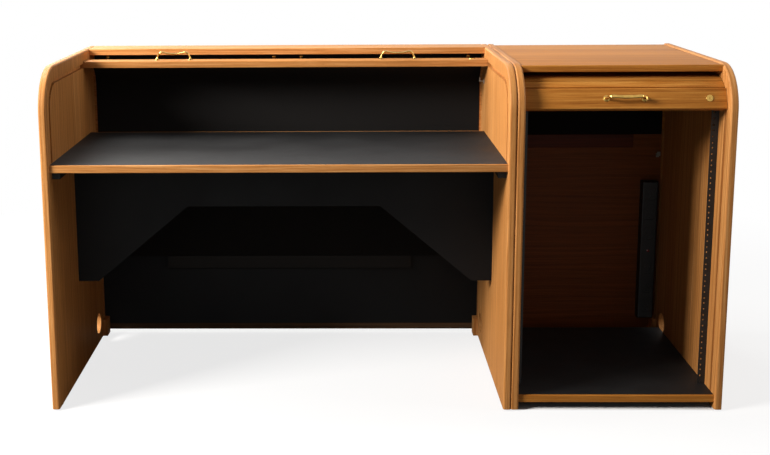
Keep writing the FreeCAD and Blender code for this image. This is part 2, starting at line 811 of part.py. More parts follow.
def socket_insert(x, z, seat):
    """A socket face with two blade slots and an earth hole."""
    corners = [
        Vector(val(u), seat, val(v))
        for u, v in socket_outline(x, z, "(socket_half - socket_gap)")
    ]
    face = Part.Face(Part.makePolygon(corners + [corners[0]]))
    insert = face.extrude(Vector(0, socket_thickness() * -1, 0))
    middle = Vector(val(x), seat, val(z))
    for dx in (-6.35, 6.35):
        insert = insert.cut(Part.makeBox(1.8, 4, 8, middle + Vector(dx - 0.9, -3.5, -2)))
    earth = faceted([(2.4, -1), (2.4, 4)], 8, middle + Vector(0, 0, -9), Vector(0, -1, 0))
    return insert.cut(earth)


def socket_thickness():
    """The socket face lies just below the front of the strip."""
    return val("socket_sink") * 0.8


def socket_spots():
    """Centres of the sockets, half below and half above the pilot lamp, as (x, z) formulas."""
    x = "rack_right_in - strip_inset - strip_width / 2"
    step = "(strip_height / (strip_sockets + 1))"
    count = int(val("strip_sockets"))
    shifts = [i + (0.62 if i < count // 2 else 1.38) for i in range(count)]
    return [(x, f"strip_foot + {shift} * {step}") for shift in shifts]


def cable_clips():
    """Two small J hooks that hold cables, one on the desk wall and one on the rack back."""
    thick, reach, wide = 2.0, 14.0, 9.0
    profile = [(0, 0), (thick, 0), (thick, 4), (reach - thick, 4), (reach - thick, -6)]
    profile += [(reach, -6), (reach, 4 + thick), (thick, 4 + thick), (thick, 12), (0, 12)]
    points = [Vector(u, 0, -v) for u, v in profile]
    wire = Part.makePolygon(points + [points[0]])
    hook = Part.Face(wire).extrude(Vector(0, wide, 0))
    wall = hook.copy()
    place = Vector(val("desk_right_in"), val("front_y") + 516, val("height") - 90)
    wall.Placement = FreeCAD.Placement(place, FreeCAD.Rotation(Vector(0, 0, 1), 180))
    back = hook.copy()
    place = Vector(val("rack_right_in") - 14, val("back_face"), val("height") - 318)
    back.Placement = FreeCAD.Placement(place, FreeCAD.Rotation(Vector(0, 0, 1), -90))
    feature("cable_clips", Part.makeCompound([wall, back]))


# Lead rails: modelled lying flat, leading edge at y = 0, inner face at z = 0, bay centre at x = 0


def rail_body(prefix, half):
    """The lead rail with its rounded edges, lock mortise and screw holes."""
    label = prefix + "_lead_rail"
    body = new_body(label)
    sketch = new_sketch(body, label + "_section", "YZ_Plane", f"-({half})")
    rectangle(sketch, "0", "0", "rail_width", "rail_board")
    base = pad(body, sketch, f"2 * ({half})")
    high = val("rail_board")

    def outer_long(edge):
        return lies_on(edge, "z", high) and edge.Length > val("rail_width") * 1.5

    body.Tip = round_edges(body, base, outer_long, "rail_round")
    return body


def lock_cuts(body, half):
    """The mortise for the lock, open to the end of the rail, and the plug bore."""
    axis_x, axis_y = f"{half} - lock_inset", "rail_width / 2"
    mortise = new_sketch(body, body.Label + "_mortise", "XY_Plane", "0")
    rectangle(
        mortise,
        f"{axis_x} - cam_radius - 5",
        "bolt_rise - 1.5",
        f"{axis_x} + cam_radius + 5",
        f"{axis_y} + cam_radius + 5",
    )
    pocket(body, mortise, "case_depth", True)
    slot = new_sketch(body, body.Label + "_bolt_slot", "XY_Plane", "0")
    rectangle(
        slot,
        f"{axis_x}",
        "bolt_rise - 0.5",
        f"{half} + 1",
        "bolt_rise + bolt_width + 0.5",
    )
    pocket(body, slot, "bolt_seat + bolt_board + 0.5", True)
    bore = new_sketch(body, body.Label + "_plug_bore", "XY_Plane", "0")
    circle(bore, axis_x, axis_y, "lock_plug_radius + lock_bore_gap")
    pocket(body, bore, "rail_board", True)


def pull_spots(prefix):
    """Centres of the pulls along the rail."""
    return ["-desk_pull_offset", "desk_pull_offset"] if prefix == "desk" else ["0"]


def screw_holes(body, prefix):
    """Stepped holes for the pull screws."""
    for suffix, radius, length in (
        ("shanks", "pull_screw_hole", "rail_board"),
        ("heads", "pull_screw_head + 0.4", "3"),
    ):
        holes = new_sketch(body, body.Label + "_" + suffix, "XY_Plane", "0")
        for x in pull_spots(prefix):
            for side in ("-", "+"):
                circle(holes, f"{x} {side} pull_centres / 2", "rail_width / 2", radius)
        pocket(body, holes, length, True)


def tongues(body, half):
    """Guide tongues on the inner half of both ends, one by each long edge."""
    for name, start in (("lead", "0.5"), ("trail", "rail_width - tongue_length - 0.5")):
        for side, low in (("left", f"-({half}) - tongue_reach - rail_gap"), ("right", half)):
            sketch = new_sketch(
                body, f"{body.Label}_{name}_{side}", "XY_Plane", "0"
            )
            rectangle(
                sketch,
                low,
                start,
                f"{low} + tongue_reach + rail_gap",
                f"{start} + tongue_length",
            )
            pad(body, sketch, "groove_width - 2 * rail_seat")


def bow_pull(label, x, placement):
    """A bow pull: two legs, round shoulders, and a bow that sags a little in the middle."""
    body = new_body(label)
    face = "rail_board + rosette_height"
    left, right = f"{x} - pull_centres / 2", f"{x} + pull_centres / 2"
    low = "rail_board + pull_rise - pull_bend"
    half = "(pull_centres / 2 - pull_bend)"
    # The shoulder arc and the sag arc meet on the line through their centres, this far apart.
    apart = f"(({half} ^ 2 + pull_dip ^ 2) / (2 * pull_dip))"
    shift = f"(pull_bend * (1 + {half} / {apart}))"
    high = f"{low} + pull_bend * (1 - pull_dip / {apart})"
    path = outline(
        new_sketch(body, label + "_path", "XZ_Plane", "-rail_width / 2"),
        [
            (left, face),
            (left, low, f"{left} + pull_bend", low, -1),
            (f"{left} + {shift}", high, x, f"{low} + {apart} - pull_dip", 1),
            (f"{right} - {shift}", high, f"{right} - pull_bend", low, -1),
            (right, low),
            (right, face),
        ],
        closed=False,
    )
    section = new_sketch(body, label + "_bar", "XY_Plane", face)
    circle(section, left, "rail_width / 2", "pull_bar")
    doc.recompute()
    bow = body.newObject("PartDesign::AdditivePipe", label + "_bow")
    bow.Profile = section
    bow.Spine = path
    bow.Mode = "Standard"
    doc.recompute()
    body.Tip = bow
    taps = new_sketch(body, label + "_taps", "XY_Plane", face)
    circle(taps, left, "rail_width / 2", "pull_screw_hole")
    circle(taps, right, "rail_width / 2", "pull_screw_hole")
    pocket(body, taps, "7", True)
    body.Placement = placement
    return body


def rail_fittings(prefix, half, placement):
    """Rosettes, pull screws, and the lock's plug, case, bolt and escutcheon."""
    face, middle = val("rail_board"), val("rail_width / 2")
    up = Vector(0, 0, 1)
    feet = []
    for x in pull_spots(prefix):
        feet += [val(f"{x} - pull_centres / 2"), val(f"{x} + pull_centres / 2")]
    hole, radius, rise = val("pull_screw_hole"), val("rosette_radius"), val("rosette_height")
    rosette = [(hole, 0), (radius, 0), (radius - 1.6, rise), (hole, rise)]
    shapes = [turned(rosette, Vector(x, middle, face), up) for x in feet]
    feature(prefix + "_pull_rosettes", Part.makeCompound(shapes), placement)

    head, shank = val("pull_screw_head"), val("pull_screw_radius")
    end = face + rise + 6.5
    shapes = []
    for x in feet:
        cap = faceted([(head, 0.6), (head, 2.9)], 8, Vector(x, middle, 0), up)
        body = faceted([(shank, 2.5), (shank, end)], 8, Vector(x, middle, 0), up)
        shapes.append(cap.fuse(body).removeSplitter())
    feature(prefix + "_pull_screws", Part.makeCompound(shapes), placement)

    axis = Vector(val(f"{half} - lock_inset"), middle, 0)
    lock_parts(prefix, half, axis, placement)


def lock_parts(prefix, half, axis, placement):
    up = Vector(0, 0, 1)
    face, plug = val("rail_board"), val("lock_plug_radius")
    gap, cam, cam_high = val("lock_bore_gap"), val("cam_radius"), val("cam_board")
    bolt_top = val("bolt_seat + bolt_board")
    ring, ring_high = val("escutcheon_radius"), val("escutcheon_height")

    profile = [(plug + gap, 0), (ring, 0), (ring - 0.9, ring_high), (plug + gap, ring_high)]
    ring_shape = turned(profile, Vector(axis.x, axis.y, face), up)
    feature(prefix + "_lock_escutcheon", ring_shape, placement)

    low = bolt_top + 0.8
    shape = Part.makeCylinder(plug, face + 1.0 - low, Vector(axis.x, axis.y, low))
    tip = Part.makeCylinder(3, cam_high, Vector(axis.x + cam - 3, axis.y, low))
    arm = Part.makeBox(cam - 3, 6, cam_high, Vector(axis.x, axis.y - 3, low)).fuse(tip)
    keyway = Part.makeBox(1.6, 6.4, 4, Vector(axis.x - 0.8, axis.y - 3.2, face - 2.6))
    shape = shape.fuse(arm).cut(keyway).removeSplitter()
    feature(prefix + "_lock_plug", shape, placement)

    end = val(half)
    seat, wide, rise = val("bolt_seat"), val("bolt_width"), val("bolt_rise")
    bolt = Part.makeBox(
        end - 0.4 - axis.x, wide, val("bolt_board"), Vector(axis.x, rise, seat)
    )
    nose = [e for e in bolt.Edges if lies_on(e, "x", end - 0.4) and e.BoundBox.ZLength > 1]
    bolt = bolt.makeFillet(1.5, nose)
    feature(prefix + "_lock_bolt", bolt, placement)

    left = axis.x - cam - 4.5
    right = axis.x + cam + 4.5
    back = axis.y + cam + 4.5
    plate = Part.makeBox(right - left, back - rise + 1, 1.6, Vector(left, rise - 1, 0.2))
    wall = Part.makeBox(2.5, back - rise + 1, val("case_height"), Vector(left, rise - 1, 0.2))
    strap = Part.makeBox(end - 1 - axis.x, wide + 0.4, 1.6, Vector(axis.x, rise - 0.2, 0.2))
    case = plate.fuse([wall, strap]).removeSplitter()
    feature(prefix + "_lock_case", case, placement)


def lead_rails():
    """The two lead rails: the desk's parked flat, the rack's leaning on its guide pins."""
    desk_half = "(desk_clear / 2 - rail_gap)"
    lip = val("arc_z + groove_inner + rail_seat")
    place = Vector(val("desk_mid"), val("front_y + desk_rail_rest"), lip)
    desk_place = FreeCAD.Placement(place, FreeCAD.Rotation())
    body = rail_body("desk", desk_half)
    lock_cuts(body, desk_half)
    screw_holes(body, "desk")
    tongues(body, desk_half)
    body.Placement = desk_place
    bow_pull("desk_pull_left", "-desk_pull_offset", desk_place)
    bow_pull("desk_pull_right", "desk_pull_offset", desk_place)
    rail_fittings("desk", desk_half, desk_place)

    rack_half = "(rack_clear / 2 - rail_gap)"
    rack_place = rack_rail_placement()
    body = rail_body("rack", rack_half)
    lock_cuts(body, rack_half)
    screw_holes(body, "rack")
    pin_bores(body, rack_half)
    body.Placement = rack_place
    bow_pull("rack_pull", "0", rack_place)
    rail_fittings("rack", rack_half, rack_place)
    guide_pins()


def pin_rest():
    """Where the rack rail's guide pins rest on the middle line of the corner arc."""
    angle = math.radians(val("pin_rest_angle"))
    middle = val("groove_middle")
    y = val("arc_front_y") - middle * math.cos(angle)
    z = val("arc_z") + middle * math.sin(angle)
    return y, z


def rack_rail_placement():
    """Stands the flat rail on its leading edge, leans it back, and hangs it on its pins."""
    turn = FreeCAD.Rotation(X_AXIS, 90 - val("rack_rail_tilt"))
    pin = turn.multVec(Vector(0, val("pin_rise"), pin_depth()))
    y, z = pin_rest()
    return FreeCAD.Placement(Vector(val("rack_mid"), y, z) - pin, turn)


def pin_depth():
    """The pin axis above the rail's inner face."""
    return val("groove_width / 2 - rail_seat")


def pin_bores(body, half):
    for name, start, reverse in (("left", f"-({half})", False), ("right", half, True)):
        sketch = new_sketch(body, f"{body.Label}_bore_{name}", "YZ_Plane", start)
        circle(sketch, "pin_rise", "groove_width / 2 - rail_seat", "pin_radius + pin_bore_gap")
        pocket(body, sketch, "pin_bore_depth", not reverse)


def guide_pins():
    """Nylon pins on which the rack lead rail turns and which run in the grooves."""
    y, z = pin_rest()
    half = val("rack_clear / 2")
    inside = val("pin_bore_depth - rail_gap - 1")
    length = inside + val("rail_gap + tongue_reach")
    radius, mid = val("pin_radius"), val("rack_mid")
    left = Part.makeCylinder(
        radius, length, Vector(mid - half - val("tongue_reach"), y, z), X_AXIS
    )
    right = Part.makeCylinder(
        radius, length, Vector(mid + half + val("tongue_reach") - length, y, z), X_AXIS
    )
    feature("rack_guide_pins", Part.makeCompound([left, right]))


# Tambour curtains


def hinge_point(travel, start_angle=None):
    """A point (y, z) on the slats' inner line: along the top from the front corner, round the back corner
    and down, at a distance travelled. A start angle begins it part way round the front corner."""
    radius = val("hinge_path")
    front, back, high = val("arc_front_y"), val("arc_back_y"), val("arc_z")
    if start_angle is not None:
        first = radius * math.radians(90 - start_angle)
        if travel < first:
            angle = math.radians(start_angle) + travel / radius
            return front - radius * math.cos(angle), high + radius * math.sin(angle)
        travel -= first
    if travel < back - front:
        return front + travel, high + radius
    travel -= back - front
    bend = radius * math.pi / 2
    if travel < bend:
        angle = travel / radius
        return back + radius * math.sin(angle), high + radius * math.cos(angle)
    return back + radius, high - (travel - bend)


def curtain_points(count, start, start_angle):
    """The hinge lines between slats, the first at a start distance."""
    pitch = val("slat_pitch")
    return [hinge_point(start + i * pitch, start_angle) for i in range(count + 1)]


def slat_shape(low, high, width, x):
    """One slat between two hinge lines, bevelled outside."""
    along = Vector(0, high[0] - low[0], high[1] - low[1])
    length = along.Length
    along.normalize()
    out = Vector(0, -along.z, along.y)
    thick, bevel = val("slat_board"), val("slat_bevel")
    gap = val("slat_gap") / 2
    section = [(gap, 0), (length - gap, 0), (length - gap, thick - bevel)]
    section += [(length - gap - bevel, thick), (gap + bevel, thick), (gap, thick - bevel)]
    origin = Vector(x - width / 2, low[0], low[1])
    points = [origin + along * u + out * v for u, v in section]
    return Part.Face(Part.makePolygon(points + [points[0]])).extrude(Vector(width, 0, 0))


def curtain(prefix, middle, clear, start, start_angle=None):
    """The slats, their canvas backing and the tail bar of one tambour."""
    points = curtain_points(int(val(prefix + "_slats")), start, start_angle)
    width = val(f"{clear} + 2 * (groove_depth - slat_end_gap)")
    x = val(middle)
    slats = [slat_shape(a, b, width, x) for a, b in zip(points, points[1:])]
    feature(prefix + "_slats", Part.makeCompound(slats))

    foot = (points[-1][0], points[-1][1] - val("canvas_hem"))
    line = points + [foot]
    thick = val("canvas")
    near = offset_line(line, 0.08)
    far = offset_line(line, 0.08 + thick)
    wide = val(f"{clear} - 2 * canvas_inset")
    ring = [Vector(x - wide / 2, y, z) for y, z in near + far[::-1]]
    sheet = Part.Face(Part.makePolygon(ring + [ring[0]])).extrude(Vector(wide, 0, 0))
    feature(prefix + "_canvas", sheet)

    long = val(f"{clear} * tail_share")
    high, deep = val("tail_width"), val("tail_board")
    place = Vector(x - long / 2, foot[0] - 0.08 - thick, foot[1] - high)
    bar = Part.makeBox(long, deep, high, place)
    edges = [e for e in bar.Edges if e.Length > long - 1]
    feature(prefix + "_tail_bar", bar.makeFillet(2, edges))


def offset_line(points, inward):
    """The line moved towards the inside of the cabinet, mitred at its corners."""
    moved = []
    for i, (y, z) in enumerate(points):
        ahead = points[min(i + 1, len(points) - 1)]
        behind = points[max(i - 1, 0)]
        sides = []
        for a, b in ((behind, (y, z)), ((y, z), ahead)):
            dy, dz = b[0] - a[0], b[1] - a[1]
            size = math.hypot(dy, dz)
            if size > 1e-6:
                sides.append((dz / size, -dy / size))
        ny = sum(s[0] for s in sides) / len(sides)
        nz = sum(s[1] for s in sides) / len(sides)
        scale = inward / (ny * ny + nz * nz)
        moved.append((y + ny * scale, z + nz * scale))
    return moved


def first_rack_slat():
    """The angle round the corner arc at which the rack slats start, just past the lead rail."""
    corner = rack_rail_placement().multVec(Vector(0, val("rail_width"), 0))
    angle = math.atan2(corner.z - val("arc_z"), val("arc_front_y") - corner.y)
    return math.degrees(angle + val("rack_slat_gap / hinge_path"))


def curtains():
    desk_start = val("desk_rail_rest + rail_width + 0.6 - corner_radius")
    curtain("desk", "desk_mid", "desk_clear", desk_start)
    curtain("rack", "rack_mid", "rack_clear", 0, first_rack_slat())


def check_and_write():
    """Stops on any failed object or bad shape, then writes one STEP file for each piece."""
    doc.recompute()
    for thing in doc.Objects:
        if "Invalid" in thing.State or "Error" in thing.State:
            raise ValueError(f"{thing.Label} failed: {thing.State}")
    for node in nodes:
        if node.Shape.isNull() or not node.Shape.isValid():
            raise ValueError(f"{node.Label} has a bad shape")
    os.makedirs("parts", exist_ok=True)
    for node in nodes:
        node.Shape.exportStep(f"parts/{node.Label}.step")
        print(node.Label, len(node.Shape.Solids), round(node.Shape.Volume / 1000, 2))


def main():
    side_panels()
    for node, face, outward in (
        ("desk_side_right", "desk_right_in", 1),
        ("rack_side_left", "rack_left_in", -1),
    ):
        body = [n for n in nodes if n.Label == node][0]
        drill_seam(body, face, outward)
    glides()
    tops()
    worktop_and_shelf()
    knee_apron()
    back_panels()
    groove_stop_blocks()
    back_panel_screws()
    fit_module_bolts()
    rack_rails()
    power_strip()
    cable_clips()
    lead_rails()
    curtains()
    check_and_write()


main()
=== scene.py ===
import json
import math

import bpy
from bpy.props import FloatProperty, FloatVectorProperty, PointerProperty
from mathutils import Matrix, Vector


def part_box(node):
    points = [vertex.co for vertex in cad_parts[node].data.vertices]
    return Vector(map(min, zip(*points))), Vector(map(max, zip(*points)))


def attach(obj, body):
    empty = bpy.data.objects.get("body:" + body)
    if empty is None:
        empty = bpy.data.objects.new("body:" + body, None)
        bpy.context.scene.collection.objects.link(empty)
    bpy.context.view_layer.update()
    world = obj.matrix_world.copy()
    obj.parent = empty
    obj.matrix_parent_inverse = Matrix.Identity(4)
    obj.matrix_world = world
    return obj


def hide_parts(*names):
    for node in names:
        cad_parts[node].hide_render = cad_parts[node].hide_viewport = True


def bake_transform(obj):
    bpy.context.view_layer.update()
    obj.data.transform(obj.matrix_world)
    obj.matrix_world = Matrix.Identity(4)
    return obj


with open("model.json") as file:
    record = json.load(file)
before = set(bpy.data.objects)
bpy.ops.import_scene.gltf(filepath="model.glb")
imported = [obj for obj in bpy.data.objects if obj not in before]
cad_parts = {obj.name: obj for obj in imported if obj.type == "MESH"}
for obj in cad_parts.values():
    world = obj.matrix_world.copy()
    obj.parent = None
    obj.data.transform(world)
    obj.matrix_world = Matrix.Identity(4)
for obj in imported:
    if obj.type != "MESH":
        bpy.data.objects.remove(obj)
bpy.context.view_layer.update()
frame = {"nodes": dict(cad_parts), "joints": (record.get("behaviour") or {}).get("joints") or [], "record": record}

bl_info = {
    "name": "Tambour Desk",
    "version": (1, 0, 0),
    "blender": (4, 5, 0),
    "location": "3D View > Sidebar > Tambour Desk",
    "description": "Finishes, curtains and fittings of a tambour desk with a rack bay",
    "category": "Object",
}

NODES = frame["nodes"]
SLOTS = {part["node"]: part["material_slot"] for part in frame["record"]["subparts"]}

# Places taken from the frame, in metres.
SIDE_LOW, SIDE_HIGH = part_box("desk_side_left")
DESK_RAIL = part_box("desk_lead_rail")
DESK_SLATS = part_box("desk_slats")
RACK_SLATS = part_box("rack_slats")
DESK_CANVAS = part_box("desk_canvas")
RACK_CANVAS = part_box("rack_canvas")

# Radius of the side panels' corners, and the middles of the arcs that the curtains run round.
CORNER = 0.110
ARC_FRONT = SIDE_LOW.y + CORNER
ARC_BACK = SIDE_HIGH.y - CORNER
ARC_HEIGHT = SIDE_HIGH.z - CORNER

# Slats on each canvas, and in the drawn-out part of the desk's curtain.
DESK_COUNT, RACK_COUNT = 28, 31
DESK_REACH = 15

# At rest the drawn-out slats lie drawn together in a zone of this depth behind the lead rail. The
# rack's zone starts 15 mm over the foot of the arc, and its slats may stop 30 mm short of its end.
DESK_ZONE, RACK_ZONE = 0.010, 0.008
RACK_EDGE = ARC_HEIGHT + 0.015
RACK_SPARE = 0.03

# How far each sliding joint travels.
TRAVEL = {joint["name"]: joint.get("range_m", [0, 0])[1] for joint in frame["joints"]}


# Properties


def length(name, description, default):
    """A length that the sidebar shows with its unit."""
    return FloatProperty(name=name, description=description, default=default, unit="LENGTH", precision=4)


def hex_to_linear(code):
    """An sRGB hex value as linear red, green and blue."""
    shades = [int(code[i : i + 2], 16) / 255 for i in (1, 3, 5)]
    return tuple(s / 12.92 if s <= 0.04045 else ((s + 0.055) / 1.055) ** 2.4 for s in shades)


def colour(name, description, code):
    """A colour that the sidebar shows as a swatch."""
    default = hex_to_linear(code)
    return FloatVectorProperty(
        name=name, description=description, default=default, subtype="COLOR", min=0, max=1
    )


class TAMBOUR_PG_sizes(bpy.types.PropertyGroup):
    """Sizes of the pieces that are made here."""

    slat_pitch: length("Slat pitch", "One slat to the next along the canvas", 0.022)
    slat_board: length("Slat thickness", "Thickness of a slat", 0.010)
    slat_gap: length("Slat gap", "Between two slats lying flat", 0.0005)
    slat_round: length("Slat rounding", "Rounding along a slat's outer edges", 0.0010)
    canvas_gauge: length("Canvas thickness", "Thickness of the backing canvas", 0.0008)
    canvas_hem: length("Canvas hem", "Canvas past the last slat", 0.011)
    thread: length("Canvas thread", "Thread spacing, drawn coarser than real to show", 0.0016)
    rosette: length("Rosette radius", "Radius of the rosettes under the pulls", 0.008)
    washer: length("Washer radius", "Cup washers on the back panels", 0.0056)
    top_sunk: length("Top let in", "Rack top below the edges of its sides", 0.0035)
    shelf_back: length("Shelf back edge", "Rack shelf deeper than its CAD node, which closes a slit", 0.012)
    band: length("Edge band", "Thickness of the solid edge bands of the side panels", 0.003)
    stave: length("Stave width", "Width of the staves that the boards are glued up from", 0.088)
    ring: length("Ring width", "One growth ring of the cherry to the next", 0.007)


class TAMBOUR_PG_finish(bpy.types.PropertyGroup):
    """Colours of the finishes."""

    wood_light: colour("Light grain", "Palest lines of the cherry", "#DCA66C")
    wood_middle: colour("Middle grain", "General tone of the cherry", "#BF8145")
    wood_dark: colour("Dark grain", "Darkest lines of the cherry", "#935A27")
    # Painted shade: the rack tint darkens the cherry of the rack bay's top, lead rail, shelf lipping and slats,
    # where less light falls.
    rack_shade_tint: colour("Rack cast", "Deepens the cherry of the rack bay's top and front", "#F3E7B3")
    ply: colour("Plywood", "General tone of the sealed plywood backs", "#7A4420")
    # Painted shade: a dark brown for the rack's tail bar, which lies in the shade of the closed bay.
    tail: colour("Brown stain", "Stained tail bar of the rack's curtain", "#4D200D")
    # Painted shade: a near black for the desk's tail bar, which lies in the shade of the knee space.
    desk_tail_shade: colour("Black stain", "Stained tail bar of the desk's curtain", "#120E0B")
    strip: colour("Foot strip", "Bare strip along the foot of the desk's back", "#4D3826")
    laminate: colour("Laminate", "Matt black laminate", "#070708")
    canvas: colour("Canvas", "Dyed cotton duck", "#090706")
    brass: colour("Brass", "Polished brass", "#C9A050")
    zinc: colour("Zinc plate", "Zinc plated steel", "#B2B4B6")
    powder: colour("Powder coat", "Black powder coat on steel", "#0F0F0F")
    nylon: colour("Nylon", "Grey nylon", "#9A958A")
    plastic: colour("Black plastic", "Moulded ABS", "#0A0A0B")
    lens: colour("Lamp lens", "Red pilot lamp", "#8E120D")
    floor: colour("Floor", "Studio floor", "#7C7C7A")


def sizes():
    return bpy.context.scene.tambour_sizes


def finish():
    return bpy.context.scene.tambour_finish


# Materials

WHITE = (1, 1, 1, 1)
# A noise texture keeps mostly within this span of its full range.
NOISE_SPAN = {"From Min": 0.3, "From Max": 0.7}


def add(tree, kind, inputs=None, out=0, stops=(), **settings):
    """Adds a node with its settings, its values and its links, and gives back one of its outputs."""
    node = tree.nodes.new("ShaderNode" + kind)
    for name, value in settings.items():
        setattr(node, name, value)
    for i, (place, shade) in enumerate(stops):
        elements = node.color_ramp.elements
        element = elements[i] if i < len(elements) else elements.new(place)
        element.position, element.color = place, opaque(shade)
    for socket, value in (inputs or {}).items():
        if isinstance(value, bpy.types.NodeSocket):
            tree.links.new(value, node.inputs[socket])
        else:
            node.inputs[socket].default_value = value
    return node.outputs[out] if node.outputs else None


def opaque(shade):
    return (*shade, 1)


def times(shade, factor):
    """A colour made darker or lighter."""
    return tuple(c * factor for c in shade)


def blank_material(name):
    made = bpy.data.materials.new(name)
    made.use_nodes = True
    made.node_tree.nodes.clear()
    return made


def follow_edges(tree, place):
    """Bends the grain of a side panel's edge bands up its front, round its corner and over its top."""
    x, y, z = add(tree, "SeparateXYZ", {"Vector": place}).node.outputs
    up = add(tree, "Math", {0: z, 1: ARC_HEIGHT}, operation="SUBTRACT")
    up = add(tree, "Math", {0: up, 1: 0}, operation="MAXIMUM")
    ahead = add(tree, "Math", {0: ARC_FRONT, 1: y}, operation="SUBTRACT")
    behind = add(tree, "Math", {0: ahead, 1: 0}, operation="MINIMUM")
    ahead = add(tree, "Math", {0: ahead, 1: 0}, operation="MAXIMUM")
    out = add(tree, "CombineXYZ", {"X": ahead, "Y": up})
    out = add(tree, "VectorMath", {0: out}, out="Value", operation="LENGTH")
    depth = add(tree, "Math", {0: ARC_FRONT, 1: out}, operation="SUBTRACT")
    turned = add(tree, "Math", {0: up, 1: ahead}, operation="ARCTAN2")
    low = add(tree, "Math", {0: z, 1: ARC_HEIGHT}, operation="MINIMUM")
    along = add(tree, "Math", {0: turned, 1: CORNER, 2: low}, operation="MULTIPLY_ADD")
    along = add(tree, "Math", {0: along, 1: behind}, operation="SUBTRACT")
    bent = add(tree, "CombineXYZ", {"X": x, "Y": depth, "Z": along})
    band = add(tree, "Math", {0: out, 1: CORNER - sizes().band}, operation="GREATER_THAN")
    return add(tree, "Mix", {0: band, 4: place, 5: bent}, out=1, data_type="VECTOR")


def lacquered_cherry(name, along_x, light, middle, dark):
    """Cherry under sprayed satin lacquer: straight rings of two tones, short dark pores, a soft sheen."""
    made = blank_material(name)
    tree = made.node_tree
    place = add(tree, "TexCoord", out="Object")
    if not along_x:
        place = follow_edges(tree, place)
    turn = (0, -math.pi / 2, 0) if along_x else (0, 0, 0)
    grain = add(tree, "Mapping", {"Vector": place, "Rotation": turn})
    parts = add(tree, "SeparateXYZ", {"Vector": grain}).node.outputs
    tone = add(tree, "Attribute", out="Fac", attribute_name="tone")

    # Size in metres of each kind of figure, across and along the grain, its detail and its roughness.
    figure = {}
    for part, across, along, detail, rough in (
        ("sway", 0.16, 0.9, 2, 0.5),
        ("cloud", 0.22, 0.7, 2, 0.5),
        ("streak", 0.0045, 0.35, 3, 0.6),
        ("fibre", 0.0011, 0.07, 2, 0.5),
        ("pore", 0.0005, 0.009, 1, 0.5),
    ):
        scale = (1 / across, 1 / across, 1 / along)
        stretched = add(tree, "Mapping", {"Vector": grain, "Scale": scale})
        values = {"Vector": stretched, "Scale": 1, "Detail": detail, "Roughness": rough}
        figure[part] = add(tree, "TexNoise", values)

    # Boards are glued up from staves, each from another tree. A slat's own tone moves it far along
    # the row of staves.
    stave = add(tree, "Math", {0: parts["Y"], 1: sizes().stave}, operation="DIVIDE")
    stave = add(tree, "Math", {0: stave}, operation="FLOOR")
    stave = add(tree, "Math", {0: tone, 1: 37, 2: stave}, operation="MULTIPLY_ADD")
    chance = add(tree, "TexWhiteNoise", {"W": stave}, out="Value", noise_dimensions="1D")

    # The saw met the rings at a slant, so that they run straight along both faces of a board. They
    # sway within 45 mm, and each stave starts somewhere else in its tree.
    slant = add(tree, "Math", {0: parts["X"], 1: 0.62}, operation="MULTIPLY")
    for shift, weight in ((parts["Y"], 0.78), (figure["sway"], 0.045), (chance, 0.6)):
        slant = add(tree, "Math", {0: shift, 1: weight, 2: slant}, operation="MULTIPLY_ADD")
    slant = add(tree, "Math", {0: slant, 1: sizes().ring}, operation="DIVIDE")
    values = {"W": slant, "Scale": 1, "Detail": 4, "Roughness": 0.62}
    figure["ring"] = add(tree, "TexNoise", values, noise_dimensions="1D")

    # Streaks, rings and fibres share the tone about evenly, and the stave's own shade adds a little.
    mixed = add(tree, "Math", {0: chance, 1: 0.07, 2: -0.035}, operation="MULTIPLY_ADD")
    for part, weight in (("ring", 0.34), ("streak", 0.36), ("fibre", 0.3)):
        mixed = add(tree, "Math", {0: figure[part], 1: weight, 2: mixed}, operation="MULTIPLY_ADD")
    shade = add(tree, "ValToRGB", {0: mixed}, stops=[(0.34, dark), (0.5, middle), (0.67, light)])
    values = {"Value": figure["cloud"], **NOISE_SPAN, "To Min": 0.9, "To Max": 1.08}
    level = add(tree, "MapRange", values)
    shade = add(tree, "HueSaturation", {"Color": shade, "Value": level})
    # Only the peaks of the pore noise are pores.
    values = {"Value": figure["pore"], "From Min": 0.62, "From Max": 0.75, "To Max": 0.4}
    pitted = add(tree, "MapRange", values)
    values = {0: pitted, 6: shade, 7: opaque(times(dark, 0.45))}
    shade = add(tree, "Mix", values, out=2, data_type="RGBA")

    values = {"Value": figure["fibre"], **NOISE_SPAN, "To Min": 0.42, "To Max": 0.56}
    dull = add(tree, "MapRange", values)
    height = add(tree, "Math", {0: figure["fibre"], 1: 0.5}, operation="MULTIPLY")
    height = add(tree, "Math", {0: height, 1: pitted}, operation="SUBTRACT")
    relief = add(tree, "Bump", {"Height": height, "Strength": 0.25, "Distance": 0.0002})
    values = {"Base Color": shade, "Roughness": dull, "Normal": relief, "IOR": 1.5}
    values |= {"Specular IOR Level": 0.14, "Coat Weight": 0.04, "Coat Roughness": 0.3}
    add(tree, "OutputMaterial", {"Surface": add(tree, "BsdfPrincipled", values)})
    return made


